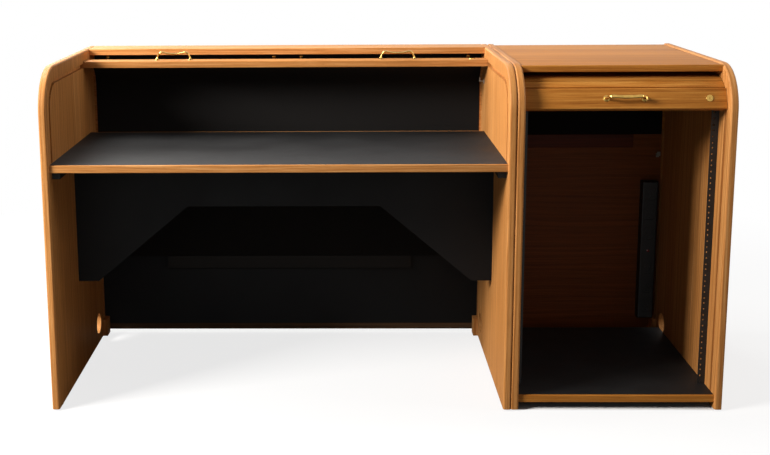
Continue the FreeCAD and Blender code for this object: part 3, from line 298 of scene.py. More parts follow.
def pressed_laminate(name, base, gloss, strip=None):
    """Melamine laminate pressed on a matt plate: near black, finely grained, with a broad dull sheen.

    The gloss is its specular level. With a strip, the part below that height is bare stained wood.
    """
    made = blank_material(name)
    tree = made.node_tree
    place = add(tree, "TexCoord", out="Object")
    # The plate's grain is 0.3 mm; it is drawn four times as coarse so that it shows.
    grain = add(tree, "TexNoise", {"Vector": place, "Scale": 1 / 0.0012, "Detail": 3})
    wear = add(tree, "TexNoise", {"Vector": place, "Scale": 1 / 0.12, "Detail": 4})
    tones = [(0.35, times(base, 0.8)), (0.7, times(base, 1.3))]
    shade = add(tree, "ValToRGB", {0: wear}, stops=tones)
    if strip is not None:
        height = add(tree, "SeparateXYZ", {"Vector": place}, out="Z")
        low = add(tree, "Math", {0: height, 1: strip}, operation="LESS_THAN")
        # Streaks of the wood are 4 mm wide and 350 mm long.
        scale = (1 / 0.35, 1 / 0.004, 1 / 0.004)
        stretched = add(tree, "Mapping", {"Vector": place, "Scale": scale})
        streaks = add(tree, "TexNoise", {"Vector": stretched, "Scale": 1, "Detail": 3})
        tones = [(0.35, times(finish().strip, 0.6)), (0.65, times(finish().strip, 1.4))]
        wood = add(tree, "ValToRGB", {0: streaks}, stops=tones)
        shade = add(tree, "Mix", {0: low, 6: shade, 7: wood}, out=2, data_type="RGBA")
    values = {"Value": wear, **NOISE_SPAN, "To Min": 0.56, "To Max": 0.68}
    dull = add(tree, "MapRange", values)
    relief = add(tree, "Bump", {"Height": grain, "Strength": 0.2, "Distance": 0.0001})
    values = {"Base Color": shade, "Roughness": dull, "Normal": relief, "IOR": 1.5}
    values |= {"Specular IOR Level": gloss}
    add(tree, "OutputMaterial", {"Surface": add(tree, "BsdfPrincipled", values)})
    return made


def woven_duck(name, base):
    """Cotton duck dyed black: plain weave with uneven threads, dull, with a little fuzz."""
    made = blank_material(name)
    tree = made.node_tree
    place = add(tree, "TexCoord", out="UV")
    # Threads really stand 0.5 mm apart; they are drawn coarser so that the weave shows.
    weave = []
    for axis in ("X", "Y"):
        values = {"Vector": place, "Scale": 0.5 / sizes().thread, "Distortion": 0}
        weave.append(add(tree, "TexWave", values, out="Fac", bands_direction=axis))
    crossed = add(tree, "Math", {0: weave[0], 1: weave[1]}, operation="MULTIPLY")
    # Thick places of the weft are about 20 mm long and 4 mm wide.
    stretched = add(tree, "Mapping", {"Vector": place, "Scale": (1 / 0.02, 1 / 0.004, 1)})
    slub = add(tree, "TexNoise", {"Vector": stretched, "Scale": 1, "Detail": 3})
    level = add(tree, "Math", {0: slub, 1: 0.6, 2: crossed}, operation="MULTIPLY_ADD")
    tones = [(0.2, times(base, 0.55)), (0.9, times(base, 1.9))]
    shade = add(tree, "ValToRGB", {0: level}, stops=tones)
    relief = add(tree, "Bump", {"Height": crossed, "Strength": 0.5, "Distance": 0.0004})
    values = {"Base Color": shade, "Roughness": 0.92, "Normal": relief, "Specular IOR Level": 0.2}
    values |= {"Sheen Weight": 0.1, "Sheen Roughness": 0.5}
    add(tree, "OutputMaterial", {"Surface": add(tree, "BsdfPrincipled", values)})
    return made


def buffed_brass(name, base):
    """Cast brass, buffed and lacquered: a warm mirror with faint buffing marks and clouds of tarnish."""
    made = blank_material(name)
    tree = made.node_tree
    place = add(tree, "TexCoord", out="Object")
    # Clouds are 11 mm across; buffing marks are 9 mm long and 0.7 mm wide.
    clouds = add(tree, "TexNoise", {"Vector": place, "Scale": 1 / 0.011, "Detail": 3})
    scale = (1 / 0.009, 1 / 0.0007, 1 / 0.0007)
    stretched = add(tree, "Mapping", {"Vector": place, "Scale": scale})
    marks = add(tree, "TexNoise", {"Vector": stretched, "Scale": 1, "Detail": 2})
    shade = add(tree, "ValToRGB", {0: clouds}, stops=[(0.3, times(base, 0.72)), (0.6, base)])
    values = {"Value": marks, **NOISE_SPAN, "To Min": 0.12, "To Max": 0.24}
    dull = add(tree, "MapRange", values)
    relief = add(tree, "Bump", {"Height": marks, "Strength": 0.06, "Distance": 0.0002})
    values = {"Base Color": shade, "Roughness": dull, "Normal": relief, "Metallic": 1}
    values |= {"Coat Weight": 0.3, "Coat Roughness": 0.08}
    add(tree, "OutputMaterial", {"Surface": add(tree, "BsdfPrincipled", values)})
    return made


def grained(name, base, size, low, high, own=None):
    """A plated, sprayed or moulded surface: a slowly drifting tone and a fine grain of one size.

    Its roughness lies between low and high, and own holds sockets that only this finish sets.
    """
    made = blank_material(name)
    tree = made.node_tree
    place = add(tree, "TexCoord", out="Object")
    grain = add(tree, "TexNoise", {"Vector": place, "Scale": 1 / size, "Detail": 2})
    drift = add(tree, "TexNoise", {"Vector": place, "Scale": 1 / (size * 25), "Detail": 2})
    mixed = add(tree, "Math", {0: grain, 1: 0.5, 2: drift}, operation="MULTIPLY_ADD")
    tones = [(0.6, times(base, 0.85)), (0.9, times(base, 1.15))]
    shade = add(tree, "ValToRGB", {0: mixed}, stops=tones)
    values = {"Value": drift, **NOISE_SPAN, "To Min": low, "To Max": high}
    dull = add(tree, "MapRange", values)
    relief = add(tree, "Bump", {"Height": grain, "Strength": 0.25, "Distance": size * 0.2})
    values = {"Base Color": shade, "Roughness": dull, "Normal": relief} | (own or {})
    add(tree, "OutputMaterial", {"Surface": add(tree, "BsdfPrincipled", values)})
    return made


def make_materials():
    """All finishes, by the name the pieces ask for."""
    tones = finish()
    cherry = tones.wood_light, tones.wood_middle, tones.wood_dark
    # Painted shade for the rack bay: each cherry tone times the rack tint.
    shade_deepened = [[a * b for a, b in zip(tone, tones.rack_shade_tint)] for tone in cherry]
    # Light, middle and dark grain of the woods that have one general tone.
    plain = (tones.ply, tones.tail, tones.desk_tail_shade)
    ply, tail, desk_tail_shade = ([times(tone, factor) for factor in (1.5, 1.0, 0.6)] for tone in plain)
    # Specular level of the working surfaces and of the duller backing sheet on upright boards.
    worked, backed = 0.42, 0.2
    # The bare strip is 18 mm high.
    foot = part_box("desk_back_panel")[0].z + 0.018
    return {
        "upright": lacquered_cherry("cherry_veneer_upright_lacquered", False, *cherry),
        "across": lacquered_cherry("cherry_across_lacquered", True, *cherry),
        # Painted shade: the same cherry times the rack tint, darker and less blue, for the rack bay's top, lead
        # rail, shelf lipping and slats.
        "rack_across": lacquered_cherry("cherry_across_painted_shade", True, *shade_deepened),
        # Sealed plywood keeps the grain in one dark tone. The two tail bars keep it too, in a dark brown and a
        # near black that are painted shade.
        "backs": lacquered_cherry("cherry_plywood_sealed", True, *ply),
        "tail": lacquered_cherry("cherry_brown_painted_shade", True, *tail),
        "stained": lacquered_cherry("cherry_black_painted_shade", True, *desk_tail_shade),
        "black_board": pressed_laminate("melamine_laminate_pressed_matt", tones.laminate, worked),
        "black_upright": pressed_laminate("melamine_laminate_backing", tones.laminate, backed),
        "black_back": pressed_laminate("melamine_laminate_foot_strip", tones.laminate, backed, foot),
        "canvas": woven_duck("cotton_duck_dyed", tones.canvas),
        "brass": buffed_brass("brass_cast_buffed", tones.brass),
        # Zinc plate is pale and a little cloudy, with soft reflections.
        "steel": grained("steel_zinc_plated", tones.zinc, 0.0009, 0.3, 0.45, {"Metallic": 1}),
        # Powder coat shows an orange-peel of under a millimetre and a satin gloss.
        "black_steel": grained("steel_powder_coated", tones.powder, 0.0008, 0.42, 0.55),
        # Moulded nylon is slightly waxy.
        "nylon": grained("nylon_moulded", tones.nylon, 0.0015, 0.38, 0.5),
        # ABS is moulded in a finely sparked tool, which leaves it dull.
        "black_plastic": grained("abs_moulded_fine_grain", tones.plastic, 0.0006, 0.45, 0.55),
        # The lens is clear acrylic tinted through, with a polished skin.
        "lamp": grained("acrylic_moulded_polished", tones.lens, 0.001, 0.12, 0.2, {"Coat Weight": 0.5}),
    }


def material(key):
    """The finish of that key, made once with all the others."""
    made = bpy.context.scene.get("tambour_materials")
    if made is None:
        made = {k: m.name for k, m in make_materials().items()}
        bpy.context.scene["tambour_materials"] = made
    return bpy.data.materials[made[key]]


def coat(thing, key):
    """Gives a piece one finish all over."""
    thing.data.materials.clear()
    thing.data.materials.append(material(key))


# Nodes whose finish isn't plainly that of their slot.
FINISH_OF = {
    "knee_apron": "black_upright",
    "apron_cleats": "black_upright",
    "desk_back_panel": "black_back",
    "desk_tail_bar": "stained",
    "rack_tail_bar": "tail",
    "rack_lead_rail": "rack_across",
    "rack_shelf_lipping": "rack_across",
    "desk_lock_plug": "brass",
    "rack_lock_plug": "brass",
}


def coat_node(node):
    """Gives a CAD node the finish of its slot, with the grain along the wood."""
    key = SLOTS[node]
    if key == "wood":
        key = "upright" if "_side_" in node or node == "groove_stop_blocks" else "across"
    key = FINISH_OF.get(node, key)
    thing = NODES[node]
    if not thing.material_slots:
        thing.data.materials.append(material(key))
    for each in thing.material_slots:
        each.material = material(key)


# Modelling helpers


def lone(thing):
    """Makes a piece the only selected and the active one."""
    bpy.ops.object.select_all(action="DESELECT")
    thing.select_set(True)
    bpy.context.view_layer.objects.active = thing
    return thing


def newest(name):
    thing = bpy.context.object
    thing.name = thing.data.name = name
    return lone(thing)


def settle(thing):
    """Puts a piece's place into its mesh, so that its object sits at the origin."""
    thing.data.transform(thing.matrix_basis)
    thing.matrix_basis = Matrix()
    thing.data.update()
    return thing


def block(name, middle, size):
    """A block of a size about a place."""
    bpy.ops.object.select_all(action="DESELECT")
    bpy.ops.mesh.primitive_cube_add(size=1, location=middle, scale=size)
    return settle(newest(name))


def round_edges(thing, chosen, offset, segments=3):
    """Rounds the edges whose two ends pass the test."""
    bpy.ops.object.mode_set(mode="EDIT")
    bpy.ops.mesh.select_mode(type="EDGE")
    bpy.ops.mesh.select_all(action="DESELECT")
    bpy.ops.object.mode_set(mode="OBJECT")
    points = thing.data.vertices
    for edge in thing.data.edges:
        edge.select = chosen(points[edge.vertices[0]].co, points[edge.vertices[1]].co)
    bpy.ops.object.mode_set(mode="EDIT")
    bpy.ops.mesh.bevel(offset=offset, segments=segments, affect="EDGES")
    bpy.ops.object.mode_set(mode="OBJECT")


def apply(thing, modifier):
    lone(thing)
    bpy.ops.object.modifier_apply(modifier=modifier.name)


def smooth(thing, degrees):
    lone(thing)
    bpy.ops.object.shade_smooth_by_angle(angle=math.radians(degrees))
    return thing


def set_tone(thing, value):
    """Marks all points of a piece with one number, which shifts the grain of its wood."""
    points = thing.data.vertices
    layer = thing.data.attributes.get("tone") or thing.data.attributes.new("tone", "FLOAT", "POINT")
    layer.data.foreach_set("value", [value] * len(points))


def copy_to(source, matrix):
    """A copy with its own mesh, moved in its mesh."""
    twin = source.copy()
    twin.data = source.data.copy()
    bpy.context.scene.collection.objects.link(twin)
    twin.data.transform(matrix)
    return twin


def join(pieces, name):
    """Joins pieces to one mesh."""
    bpy.ops.object.select_all(action="DESELECT")
    for piece in pieces:
        piece.select_set(True)
    bpy.context.view_layer.objects.active = pieces[0]
    bpy.ops.object.join()
    return newest(name)


def drop(thing):
    bpy.data.meshes.remove(thing.data)


def basis(origin, x_axis, y_axis, z_axis):
    """The matrix that carries a piece modelled at the origin to a place and its three axes."""
    turned = Matrix((x_axis, y_axis, z_axis)).transposed().to_4x4()
    return Matrix.Translation(origin) @ turned


def seated(spot, out):
    """The matrix that seats a piece on a spot with its Z outwards and its X to the right."""
    side = Vector((1, 0, 0))
    return basis(spot, side, out.cross(side), out)


def fit(piece, key, body, node):
    """Gives a piece its finish, and lets it ride on a body in place of a CAD node."""
    coat(piece, key)
    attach(piece, body)
    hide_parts(node)


# Tambour curtains


def track(travel, radius):
    """A point (y, z) of the path at a radius about the corners, at a distance from the floor.

    The path goes up the front, round the corner, back along the top, round the rear corner and down.
    """
    bend = radius * math.pi / 2
    if travel < ARC_HEIGHT:
        return ARC_FRONT - radius, travel
    travel -= ARC_HEIGHT
    if travel < bend:
        angle = travel / radius
        return ARC_FRONT - radius * math.cos(angle), ARC_HEIGHT + radius * math.sin(angle)
    travel -= bend
    if travel < ARC_BACK - ARC_FRONT:
        return ARC_FRONT + travel, ARC_HEIGHT + radius
    travel -= ARC_BACK - ARC_FRONT
    if travel < bend:
        angle = travel / radius
        return ARC_BACK + radius * math.sin(angle), ARC_HEIGHT + radius * math.cos(angle)
    return ARC_BACK + radius, ARC_HEIGHT - (travel - bend)


def hinge_radius():
    """The slats' inner faces run at this radius about the corners."""
    return DESK_SLATS[1].z - sizes().slat_board - ARC_HEIGHT


def model_slat(wide):
    """One slat at the origin: grain along X, its inner face at z = 0, rounded on its outer edges."""
    high = sizes().slat_board
    across = sizes().slat_pitch - sizes().slat_gap
    slat = block("slat", (0, 0, high / 2), (wide, across, high))

    def outer_long(a, b):
        return min(a.z, b.z) > high * 0.9 and abs(a.x - b.x) > wide / 2

    def ends(a, b):
        return abs(a.x) > wide * 0.49 and abs(b.x) > wide * 0.49 and abs(a.x - b.x) < 1e-5

    round_edges(slat, outer_long, sizes().slat_round)
    # The saw's edge at both ends is broken with sandpaper.
    round_edges(slat, ends, 0.0006, 1)
    return slat


def lay_slats(name, slat, middle, start, count, step=1):
    """Copies a slat along the track from a start distance, on (1) or back (-1), as one piece."""
    radius, pitch = hinge_radius(), sizes().slat_pitch
    laid = []
    for i in range(count):
        first = track(start + step * i * pitch, radius)
        last = track(start + step * (i + 1) * pitch, radius)
        if step < 0:
            first, last = last, first
        along = Vector((0, last[0] - first[0], last[1] - first[1])).normalized()
        out = Vector((0, -along.z, along.y))
        centre = Vector((middle, (first[0] + last[0]) / 2, (first[1] + last[1]) / 2))
        # The slat lies with its local Y along the track and its local Z outwards.
        place = basis(centre, Vector((1, 0, 0)), along, out)
        twin = copy_to(slat, place)
        # Steps of the golden section keep neighbours apart in tone.
        set_tone(twin, (i * 0.618 + start * 7.3) % 1.0)
        laid.append(twin)
    return smooth(join(laid, name), 30)


def fold_away(thing, axis, start, zone, travel):
    """Draws a stretched-out curtain together into the zone behind a lead rail.

    The blend moves a point at a share t of the zone by travel * t * t * (3 - 2 * t), and each point starts
    at the share from which that takes it to its drawn-out place.
    """
    for point in thing.data.vertices:
        target = start - point.co[axis]
        if target <= 0:
            continue
        low, high = 0.0, 1.0
        for _ in range(50):
            t = (low + high) / 2
            reached = zone * t + travel * t * t * (3 - 2 * t)
            low, high = (t, high) if reached < target else (low, t)
        point.co[axis] = start - zone * (low + high) / 2
    thing.data.update()


def top_travel(depth, radius):
    """The distance along the track of a point on the top run."""
    return ARC_HEIGHT + radius * math.pi / 2 + (depth - ARC_FRONT)


def backing(name, middle, wide, start, total):
    """The canvas under the slats, cut to its flat size and laid along the track inside them."""
    gauge = sizes().canvas_gauge
    rows = round(total / sizes().slat_pitch * 2)
    bpy.ops.object.select_all(action="DESELECT")
    bpy.ops.mesh.primitive_grid_add(x_subdivisions=16, y_subdivisions=rows, size=1)
    sheet = newest(name)
    layer = sheet.data.uv_layers.active.data
    for loop in sheet.data.loops:
        across, along = sheet.data.vertices[loop.vertex_index].co.xy
        layer[loop.index].uv = (across * wide, along * total)
    radius, pitch = hinge_radius(), sizes().slat_pitch
    # It lies a hair inside the slats, and straight under each.
    inward = 0.0001 + gauge / 2
    for point in sheet.data.vertices:
        travel = start + (point.co.y + 0.5) * total
        before = start + math.floor((travel - start) / pitch + 1e-6) * pitch
        a, b = Vector(track(before, radius)), Vector(track(before + pitch, radius))
        line = (b - a).normalized()
        spot = a + line * (travel - before)
        spot += Vector((line.y, -line.x)) * inward
        point.co = (middle + point.co.x * wide, spot.x, spot.y)
    solid = sheet.modifiers.new("gauge", "SOLIDIFY")
    solid.thickness = gauge
    solid.offset = 0
    apply(sheet, solid)
    coat(smooth(sheet, 40), "canvas")
    return sheet


class TAMBOUR_OT_desk_curtain(bpy.types.Operator):
    """Slats and canvas of the desk's tambour"""

    bl_idname = "tambour.desk_curtain"
    bl_label = "Desk Curtain"

    def execute(self, context):
        low, high = DESK_SLATS
        middle = (low.x + high.x) / 2
        radius, pitch = hinge_radius(), sizes().slat_pitch
        start = top_travel(low.y - sizes().slat_gap / 2, radius)
        slat = model_slat(high.x - low.x)
        # The slats down to the foot of the rear arc stay, and the straight ones below are a piece of their own.
        foot = ARC_HEIGHT + radius * math.pi + (ARC_BACK - ARC_FRONT)
        turned = math.ceil((foot - start) / pitch)

        top = lay_slats("desk_slats_top", slat, middle, start, turned)
        coat(top, "across")
        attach(top, "cabinet")

        rear = lay_slats("desk_slats_rear", slat, middle, start + turned * pitch, DESK_COUNT - turned)
        coat(rear, "across")
        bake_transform(rear)
        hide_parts("desk_slats")

        edge = DESK_RAIL[1].y
        reach = lay_slats("desk_slats_reach", slat, middle, start, DESK_REACH, -1)
        coat(reach, "across")
        fold_away(reach, 1, edge, DESK_ZONE, TRAVEL["desk_rail_slide"])
        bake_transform(reach)
        drop(slat)

        low, high = DESK_CANVAS
        total = DESK_COUNT * pitch + sizes().canvas_hem
        sheet = backing("desk_backing", middle, high.x - low.x, start, total)
        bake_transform(sheet)
        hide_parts("desk_canvas")
        return {"FINISHED"}


class TAMBOUR_OT_rack_curtain(bpy.types.Operator):
    """Slats and canvas of the rack bay's tambour"""

    bl_idname = "tambour.rack_curtain"
    bl_label = "Rack Curtain"

    def execute(self, context):
        low, high = RACK_SLATS
        middle = (low.x + high.x) / 2
        radius, pitch = hinge_radius(), sizes().slat_pitch
        slat = model_slat(high.x - low.x)
        end = ARC_HEIGHT + radius * math.pi + (ARC_BACK - ARC_FRONT) + (ARC_HEIGHT - low.z)
        start = end + sizes().slat_gap / 2 - RACK_COUNT * pitch

        held = lay_slats("rack_slats_stored", slat, middle, start, RACK_COUNT)
        fit(held, "rack_across", "cabinet", "rack_slats")

        # Below the arc the curtain is drawn together behind the lead rail's pins. Its first slat lies
        # close against the stored ones, clear of the lock's cam when that is turned.
        edge, travel = RACK_EDGE, TRAVEL["rack_pin_slide"]
        first = start + sizes().slat_gap
        count = math.ceil((first - (edge - RACK_ZONE - travel) - RACK_SPARE) / pitch)
        reach = lay_slats("rack_slats_reach", slat, middle, first, count, -1)
        coat(reach, "rack_across")
        fold_away(reach, 2, edge, RACK_ZONE, travel)
        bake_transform(reach)
        drop(slat)

        low, high = RACK_CANVAS
        total = RACK_COUNT * pitch + sizes().canvas_hem
        sheet = backing("rack_backing", middle, high.x - low.x, start, total)
        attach(sheet, "cabinet")
        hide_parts("rack_canvas")
        return {"FINISHED"}


# Boards


FRONT, BACK = -1, 1


def lay_board(name, node, key, low, high, side, rounding):
    """A board between two corners, in place of a CAD node, with its long edges rounded on one side."""
    size = high - low
    board = block(name, (low + high) / 2, size)

    def long_there(a, b):
        return abs(a.x - b.x) > size.x / 2 and a.y * side > 0 and b.y * side > 0

    round_edges(board, long_there, rounding)
    fit(smooth(board, 40), key, "cabinet", node)


class TAMBOUR_OT_rack_top(bpy.types.Operator):
    """Top board of the rack bay, let in between the sides a little below their edges"""

    bl_idname = "tambour.rack_top"
    bl_label = "Rack Top"

    def execute(self, context):
        low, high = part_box("rack_top_panel")
        sunk = Vector((0, 0, sizes().top_sunk))
        # Its underside goes down by two thirds as much as its top.
        low, high = low - sunk * 2 / 3, high - sunk
        lay_board("rack_top_board", "rack_top_panel", "rack_across", low, high, FRONT, 0.002)
        return {"FINISHED"}


class TAMBOUR_OT_rack_shelf(bpy.types.Operator):
    """Laminated shelf of the rack bay, with its back edge eased"""

    bl_idname = "tambour.rack_shelf"
    bl_label = "Rack Shelf"

    def execute(self, context):
        low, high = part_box("rack_shelf")
        high = high + Vector((0, sizes().shelf_back, 0))
        lay_board("rack_shelf_board", "rack_shelf", "black_board", low, high, BACK, 0.0008)
        return {"FINISHED"}


# Fittings


def open_disc(name, radius, middle, segments):
    """A disc, all selected in edit mode, ready to be extruded."""
    bpy.ops.object.select_all(action="DESELECT")
    bpy.ops.mesh.primitive_circle_add(
        vertices=segments, radius=radius, location=middle, fill_type="NGON"
    )
    disc = settle(newest(name))
    bpy.ops.object.mode_set(mode="EDIT")
    bpy.ops.mesh.select_all(action="SELECT")
    return disc


def close_shell(piece):
    """Turns all faces outwards and leaves edit mode."""
    bpy.ops.mesh.select_all(action="SELECT")
    bpy.ops.mesh.normals_make_consistent(inside=False)
    bpy.ops.object.mode_set(mode="OBJECT")
    return piece


def lathe(name, rings, segments):
    """A turned piece at the origin along Z, through rings of (radius, height) from foot to cap."""
    piece = open_disc(name, rings[0][0], (0, 0, rings[0][1]), segments)
    for (here, below), (there, above) in zip(rings, rings[1:]):
        bpy.ops.mesh.extrude_region_move(TRANSFORM_OT_translate={"value": (0, 0, above - below)})
        grow = there / here
        bpy.ops.transform.resize(value=(grow, grow, 1), center_override=(0, 0, above))
    return close_shell(piece)


def sweep(name, stations, segments=24):
    """A bar at the origin through (x, height, half thickness, half width) stations.

    Each section stands square to the run there; its width lies along Y.
    """
    middles = [Vector((x, 0, height)) for x, height, _, _ in stations]
    befores, afters = middles[:1] + middles, middles[1:] + middles[-1:]
    runs = [after - before for before, after in zip(befores, afters)]
    headings = [math.atan2(run.x, run.z) for run in runs]
    bar = open_disc(name, stations[0][2], middles[0], segments)
    for i in range(1, len(stations)):
        step = middles[i] - middles[i - 1]
        bpy.ops.mesh.extrude_region_move(TRANSFORM_OT_translate={"value": step})
        # With no window a turn goes the other way.
        turn = headings[i - 1] - headings[i]
        middle = {"center_override": middles[i]}
        if abs(turn) > 1e-6:
            bpy.ops.transform.rotate(value=turn, orient_axis="Y", orient_type="GLOBAL", **middle)
        thicker, wider = (now / then for now, then in zip(stations[i][2:], stations[i - 1][2:]))
        bpy.ops.transform.resize(value=(thicker, wider, thicker), **middle)
    return close_shell(bar)


# Each curtain's body, lead rail, rosettes and pulls.
PULLS = (
    ("desk_rail", "desk_lead_rail", "desk_pull_rosettes", ("desk_pull_left", "desk_pull_right")),
    ("rack_rail", "rack_lead_rail", "rack_pull_rosettes", ("rack_pull",)),
)


class TAMBOUR_OT_rosettes(bpy.types.Operator):
    """Turned brass rosettes under the feet of the pulls"""

    bl_idname = "tambour.rosettes"
    bl_label = "Rosettes"

    def execute(self, context):
        r = sizes().rosette
        # An ogee: a thin foot, a cove, and a raised ring round the bar.
        rings = [
            (r, 0),
            (r, 0.0005),
            (r * 0.95, 0.0008),
            (r * 0.82, 0.0010),
            (r * 0.72, 0.0014),
            (r * 0.64, 0.0019),
            (r * 0.54, 0.0022),
            (r * 0.47, 0.0022),
        ]
        model = smooth(lathe("rosette", rings, 40), 40)
        for body, rail, node, _ in PULLS:
            out = rail_normal(rail)
            twins = [copy_to(model, seated(spot, out)) for spot in seats(node, out)]
            fit(join(twins, node + "_turned"), "brass", body, node)
        drop(model)
        return {"FINISHED"}


def rail_normal(node):
    """The outward normal of a lead rail's face, which is its largest face that looks up."""
    areas = {}
    for face in NODES[node].data.polygons:
        key = tuple(round(c, 2) for c in face.normal)
        if key[2] > 0.2:
            areas[key] = areas.get(key, 0) + face.area
    return Vector(max(areas, key=areas.get)).normalized()


def seats(node, out):
    """The middle of each seat of a node's round parts, from left to right."""
    points = [point.co for point in NODES[node].data.vertices]
    lowest = min(point.dot(out) for point in points)
    groups = []
    for point in sorted((p for p in points if p.dot(out) < lowest + 1e-4), key=lambda p: p.x):
        # Points of one seat follow each other within 12 mm.
        if groups and point.x - groups[-1][-1].x < 0.012:
            groups[-1].append(point)
        else:
            groups.append([point])
    middles = []
    for group in groups:
        low, high = group[0].x, group[-1].x
        ends = [p for p in group if p.x < low + 1e-4 or p.x > high - 1e-4]
        middle = sum(ends, Vector()) / len(ends)
        middle.x = (low + high) / 2
        middles.append(middle)
    return middles


class TAMBOUR_OT_pulls(bpy.types.Operator):
    """Cast brass bow pulls"""

    bl_idname = "tambour.pulls"
    bl_label = "Pulls"

    def execute(self, context):
        # From a bulb on the rosette up a slender leg, over a swollen shoulder and down into the sag of
        # the flat bow. In millimetres: distance from the middle, height over the rail's face, and the
        # section's half thickness and half width.
        half = [
            (46.0, 2.0, 4.3, 4.3),
            (46.0, 3.5, 4.5, 4.5),
            (45.8, 5.2, 3.4, 3.8),
            (45.2, 8.0, 2.4, 3.2),
            (43.8, 12.0, 2.2, 3.2),
            (41.8, 15.5, 2.4, 3.6),
            (39.3, 18.8, 2.9, 4.3),
            (36.0, 21.0, 3.3, 5.0),
            (32.6, 21.8, 3.1, 5.0),
            (28.0, 21.0, 2.4, 4.3),
            (20.0, 19.0, 2.1, 4.0),
            (10.0, 17.4, 2.3, 4.4),
        ]
        stations = [(-x, *rest) for x, *rest in half] + [(0, 16.8, 2.6, 4.8)] + half[::-1]
        model = sweep("pull", [tuple(size / 1000 for size in station) for station in stations])
        finer = model.modifiers.new("finer", "SUBSURF")
        finer.levels = finer.render_levels = 1
        apply(model, finer)
        smooth(model, 60)
        for body, rail, rosettes, pulls in PULLS:
            out = rail_normal(rail)
            feet = seats(rosettes, out)
            for node, left, right in zip(pulls, feet[::2], feet[1::2]):
                bow = copy_to(model, seated((left + right) / 2, out))
                bow.name = bow.data.name = node + "_bow"
                fit(bow, "brass", body, node)
        drop(model)
        return {"FINISHED"}


class TAMBOUR_OT_panel_screws(bpy.types.Operator):
    """Raised-head screws on brass cup washers"""

    bl_idname = "tambour.panel_screws"
    bl_label = "Panel Screws"

    def execute(self, context):
        r = sizes().washer
        rings = [(r, 0), (r * 0.98, 0.0004), (r * 0.86, 0.0011), (r * 0.74, 0.0014), (r * 0.7, 0.0011)]
        cup = lathe("cup", rings, 28)
        rings = [(r * 0.7, 0.0006), (r * 0.69, 0.0011), (r * 0.5, 0.0016), (r * 0.22, 0.0019)]
        head = lathe("head", rings, 28)
        # Two arms of a cross are sunk into the head.
        for arm_size in ((0.0044, 0.0009, 0.0016), (0.0009, 0.0044, 0.0016)):
            arm = block("recess", (0, 0, 0.0020), arm_size)
            cut = head.modifiers.new("recess", "BOOLEAN")
            cut.object = arm
            cut.operation = "DIFFERENCE"
            cut.solver = "EXACT"
            apply(head, cut)
            drop(arm)
        model = smooth(join([cup, head], "screw"), 35)
        node = "back_panel_screws"
        out = Vector((0, -1, 0))
        twins = []
        for i, spot in enumerate(seats(node, out)):
            # Every screw was driven to another angle.
            turn = Matrix.Rotation(0.7 * i, 4, "Z")
            twins.append(copy_to(model, seated(spot, out) @ turn))
        drop(model)
        fit(join(twins, "back_panel_screws_fitted"), "brass", "cabinet", node)
        return {"FINISHED"}


def coating_operator(idname, label, text, chosen):
    """An operator that gives its finish to the nodes it names."""

    def execute(self, context):
        for node in chosen:
            if node not in NODES:
                raise KeyError(f"the frame has no node {node}")
            coat_node(node)
        return {"FINISHED"}

    name = "TAMBOUR_OT_" + idname
    body = {
        "bl_idname": "tambour." + idname,
        "bl_label": label,
        "__doc__": text,
        "execute": execute,
    }
    return type(name, (bpy.types.Operator,), body)


SIDES = ("desk_side_left", "desk_side_right", "rack_side_left", "rack_side_right")
LOCK_PARTS = ("escutcheon", "plug", "bolt", "case")
LOCKS = tuple(f"{bay}_lock_{part}" for bay in ("desk", "rack") for part in LOCK_PARTS)

# Name, label, description and CAD nodes of each group that keeps its shape and gets its finish here.
GROUPS = [
    ("sides", "Side Panels", "Cherry side panels, grain upright", (*SIDES, "groove_stop_blocks")),
    (
        "boards",
        "Tops and Lippings",
        "Cherry top and edge bands, grain across",
        ("desk_top_panel", "worktop_lipping", "worktop_back_lipping", "rack_shelf_lipping"),
    ),
    (
        "laminates",
        "Laminated Boards",
        "Black laminated worktop, apron, cleats and desk back",
        ("worktop", "knee_apron", "worktop_cleats")
        + ("apron_cleats", "rack_shelf_cleats", "desk_back_panel"),
    ),
    ("rack_back", "Rack Back", "Plywood back of the rack bay", ("rack_back_panel",)),
    (
        "lead_rails",
        "Lead Rails",
        "Lead rails and tail bars of both curtains",
        ("desk_lead_rail", "rack_lead_rail", "desk_tail_bar", "rack_tail_bar", "rack_guide_pins"),
    ),
    ("pull_screws", "Pull Screws", "Screws of the bow pulls", ("desk_pull_screws", "rack_pull_screws")),
    ("locks", "Locks", "Locks of both lead rails", LOCKS),
    (
        "rack_fittings",
        "Rack Fittings",
        "Pierced rails and the socket strip",
        ("rack_rail_left", "rack_rail_right", "rack_rail_screws")
        + ("rack_power_strip", "strip_sockets", "strip_pilot_lamp"),
    ),
    (
        "fixings",
        "Fixings",
        "Module bolts, glides and cable clips",
        ("module_bolts", "glides", "cable_clips"),
    ),
]


# Stage


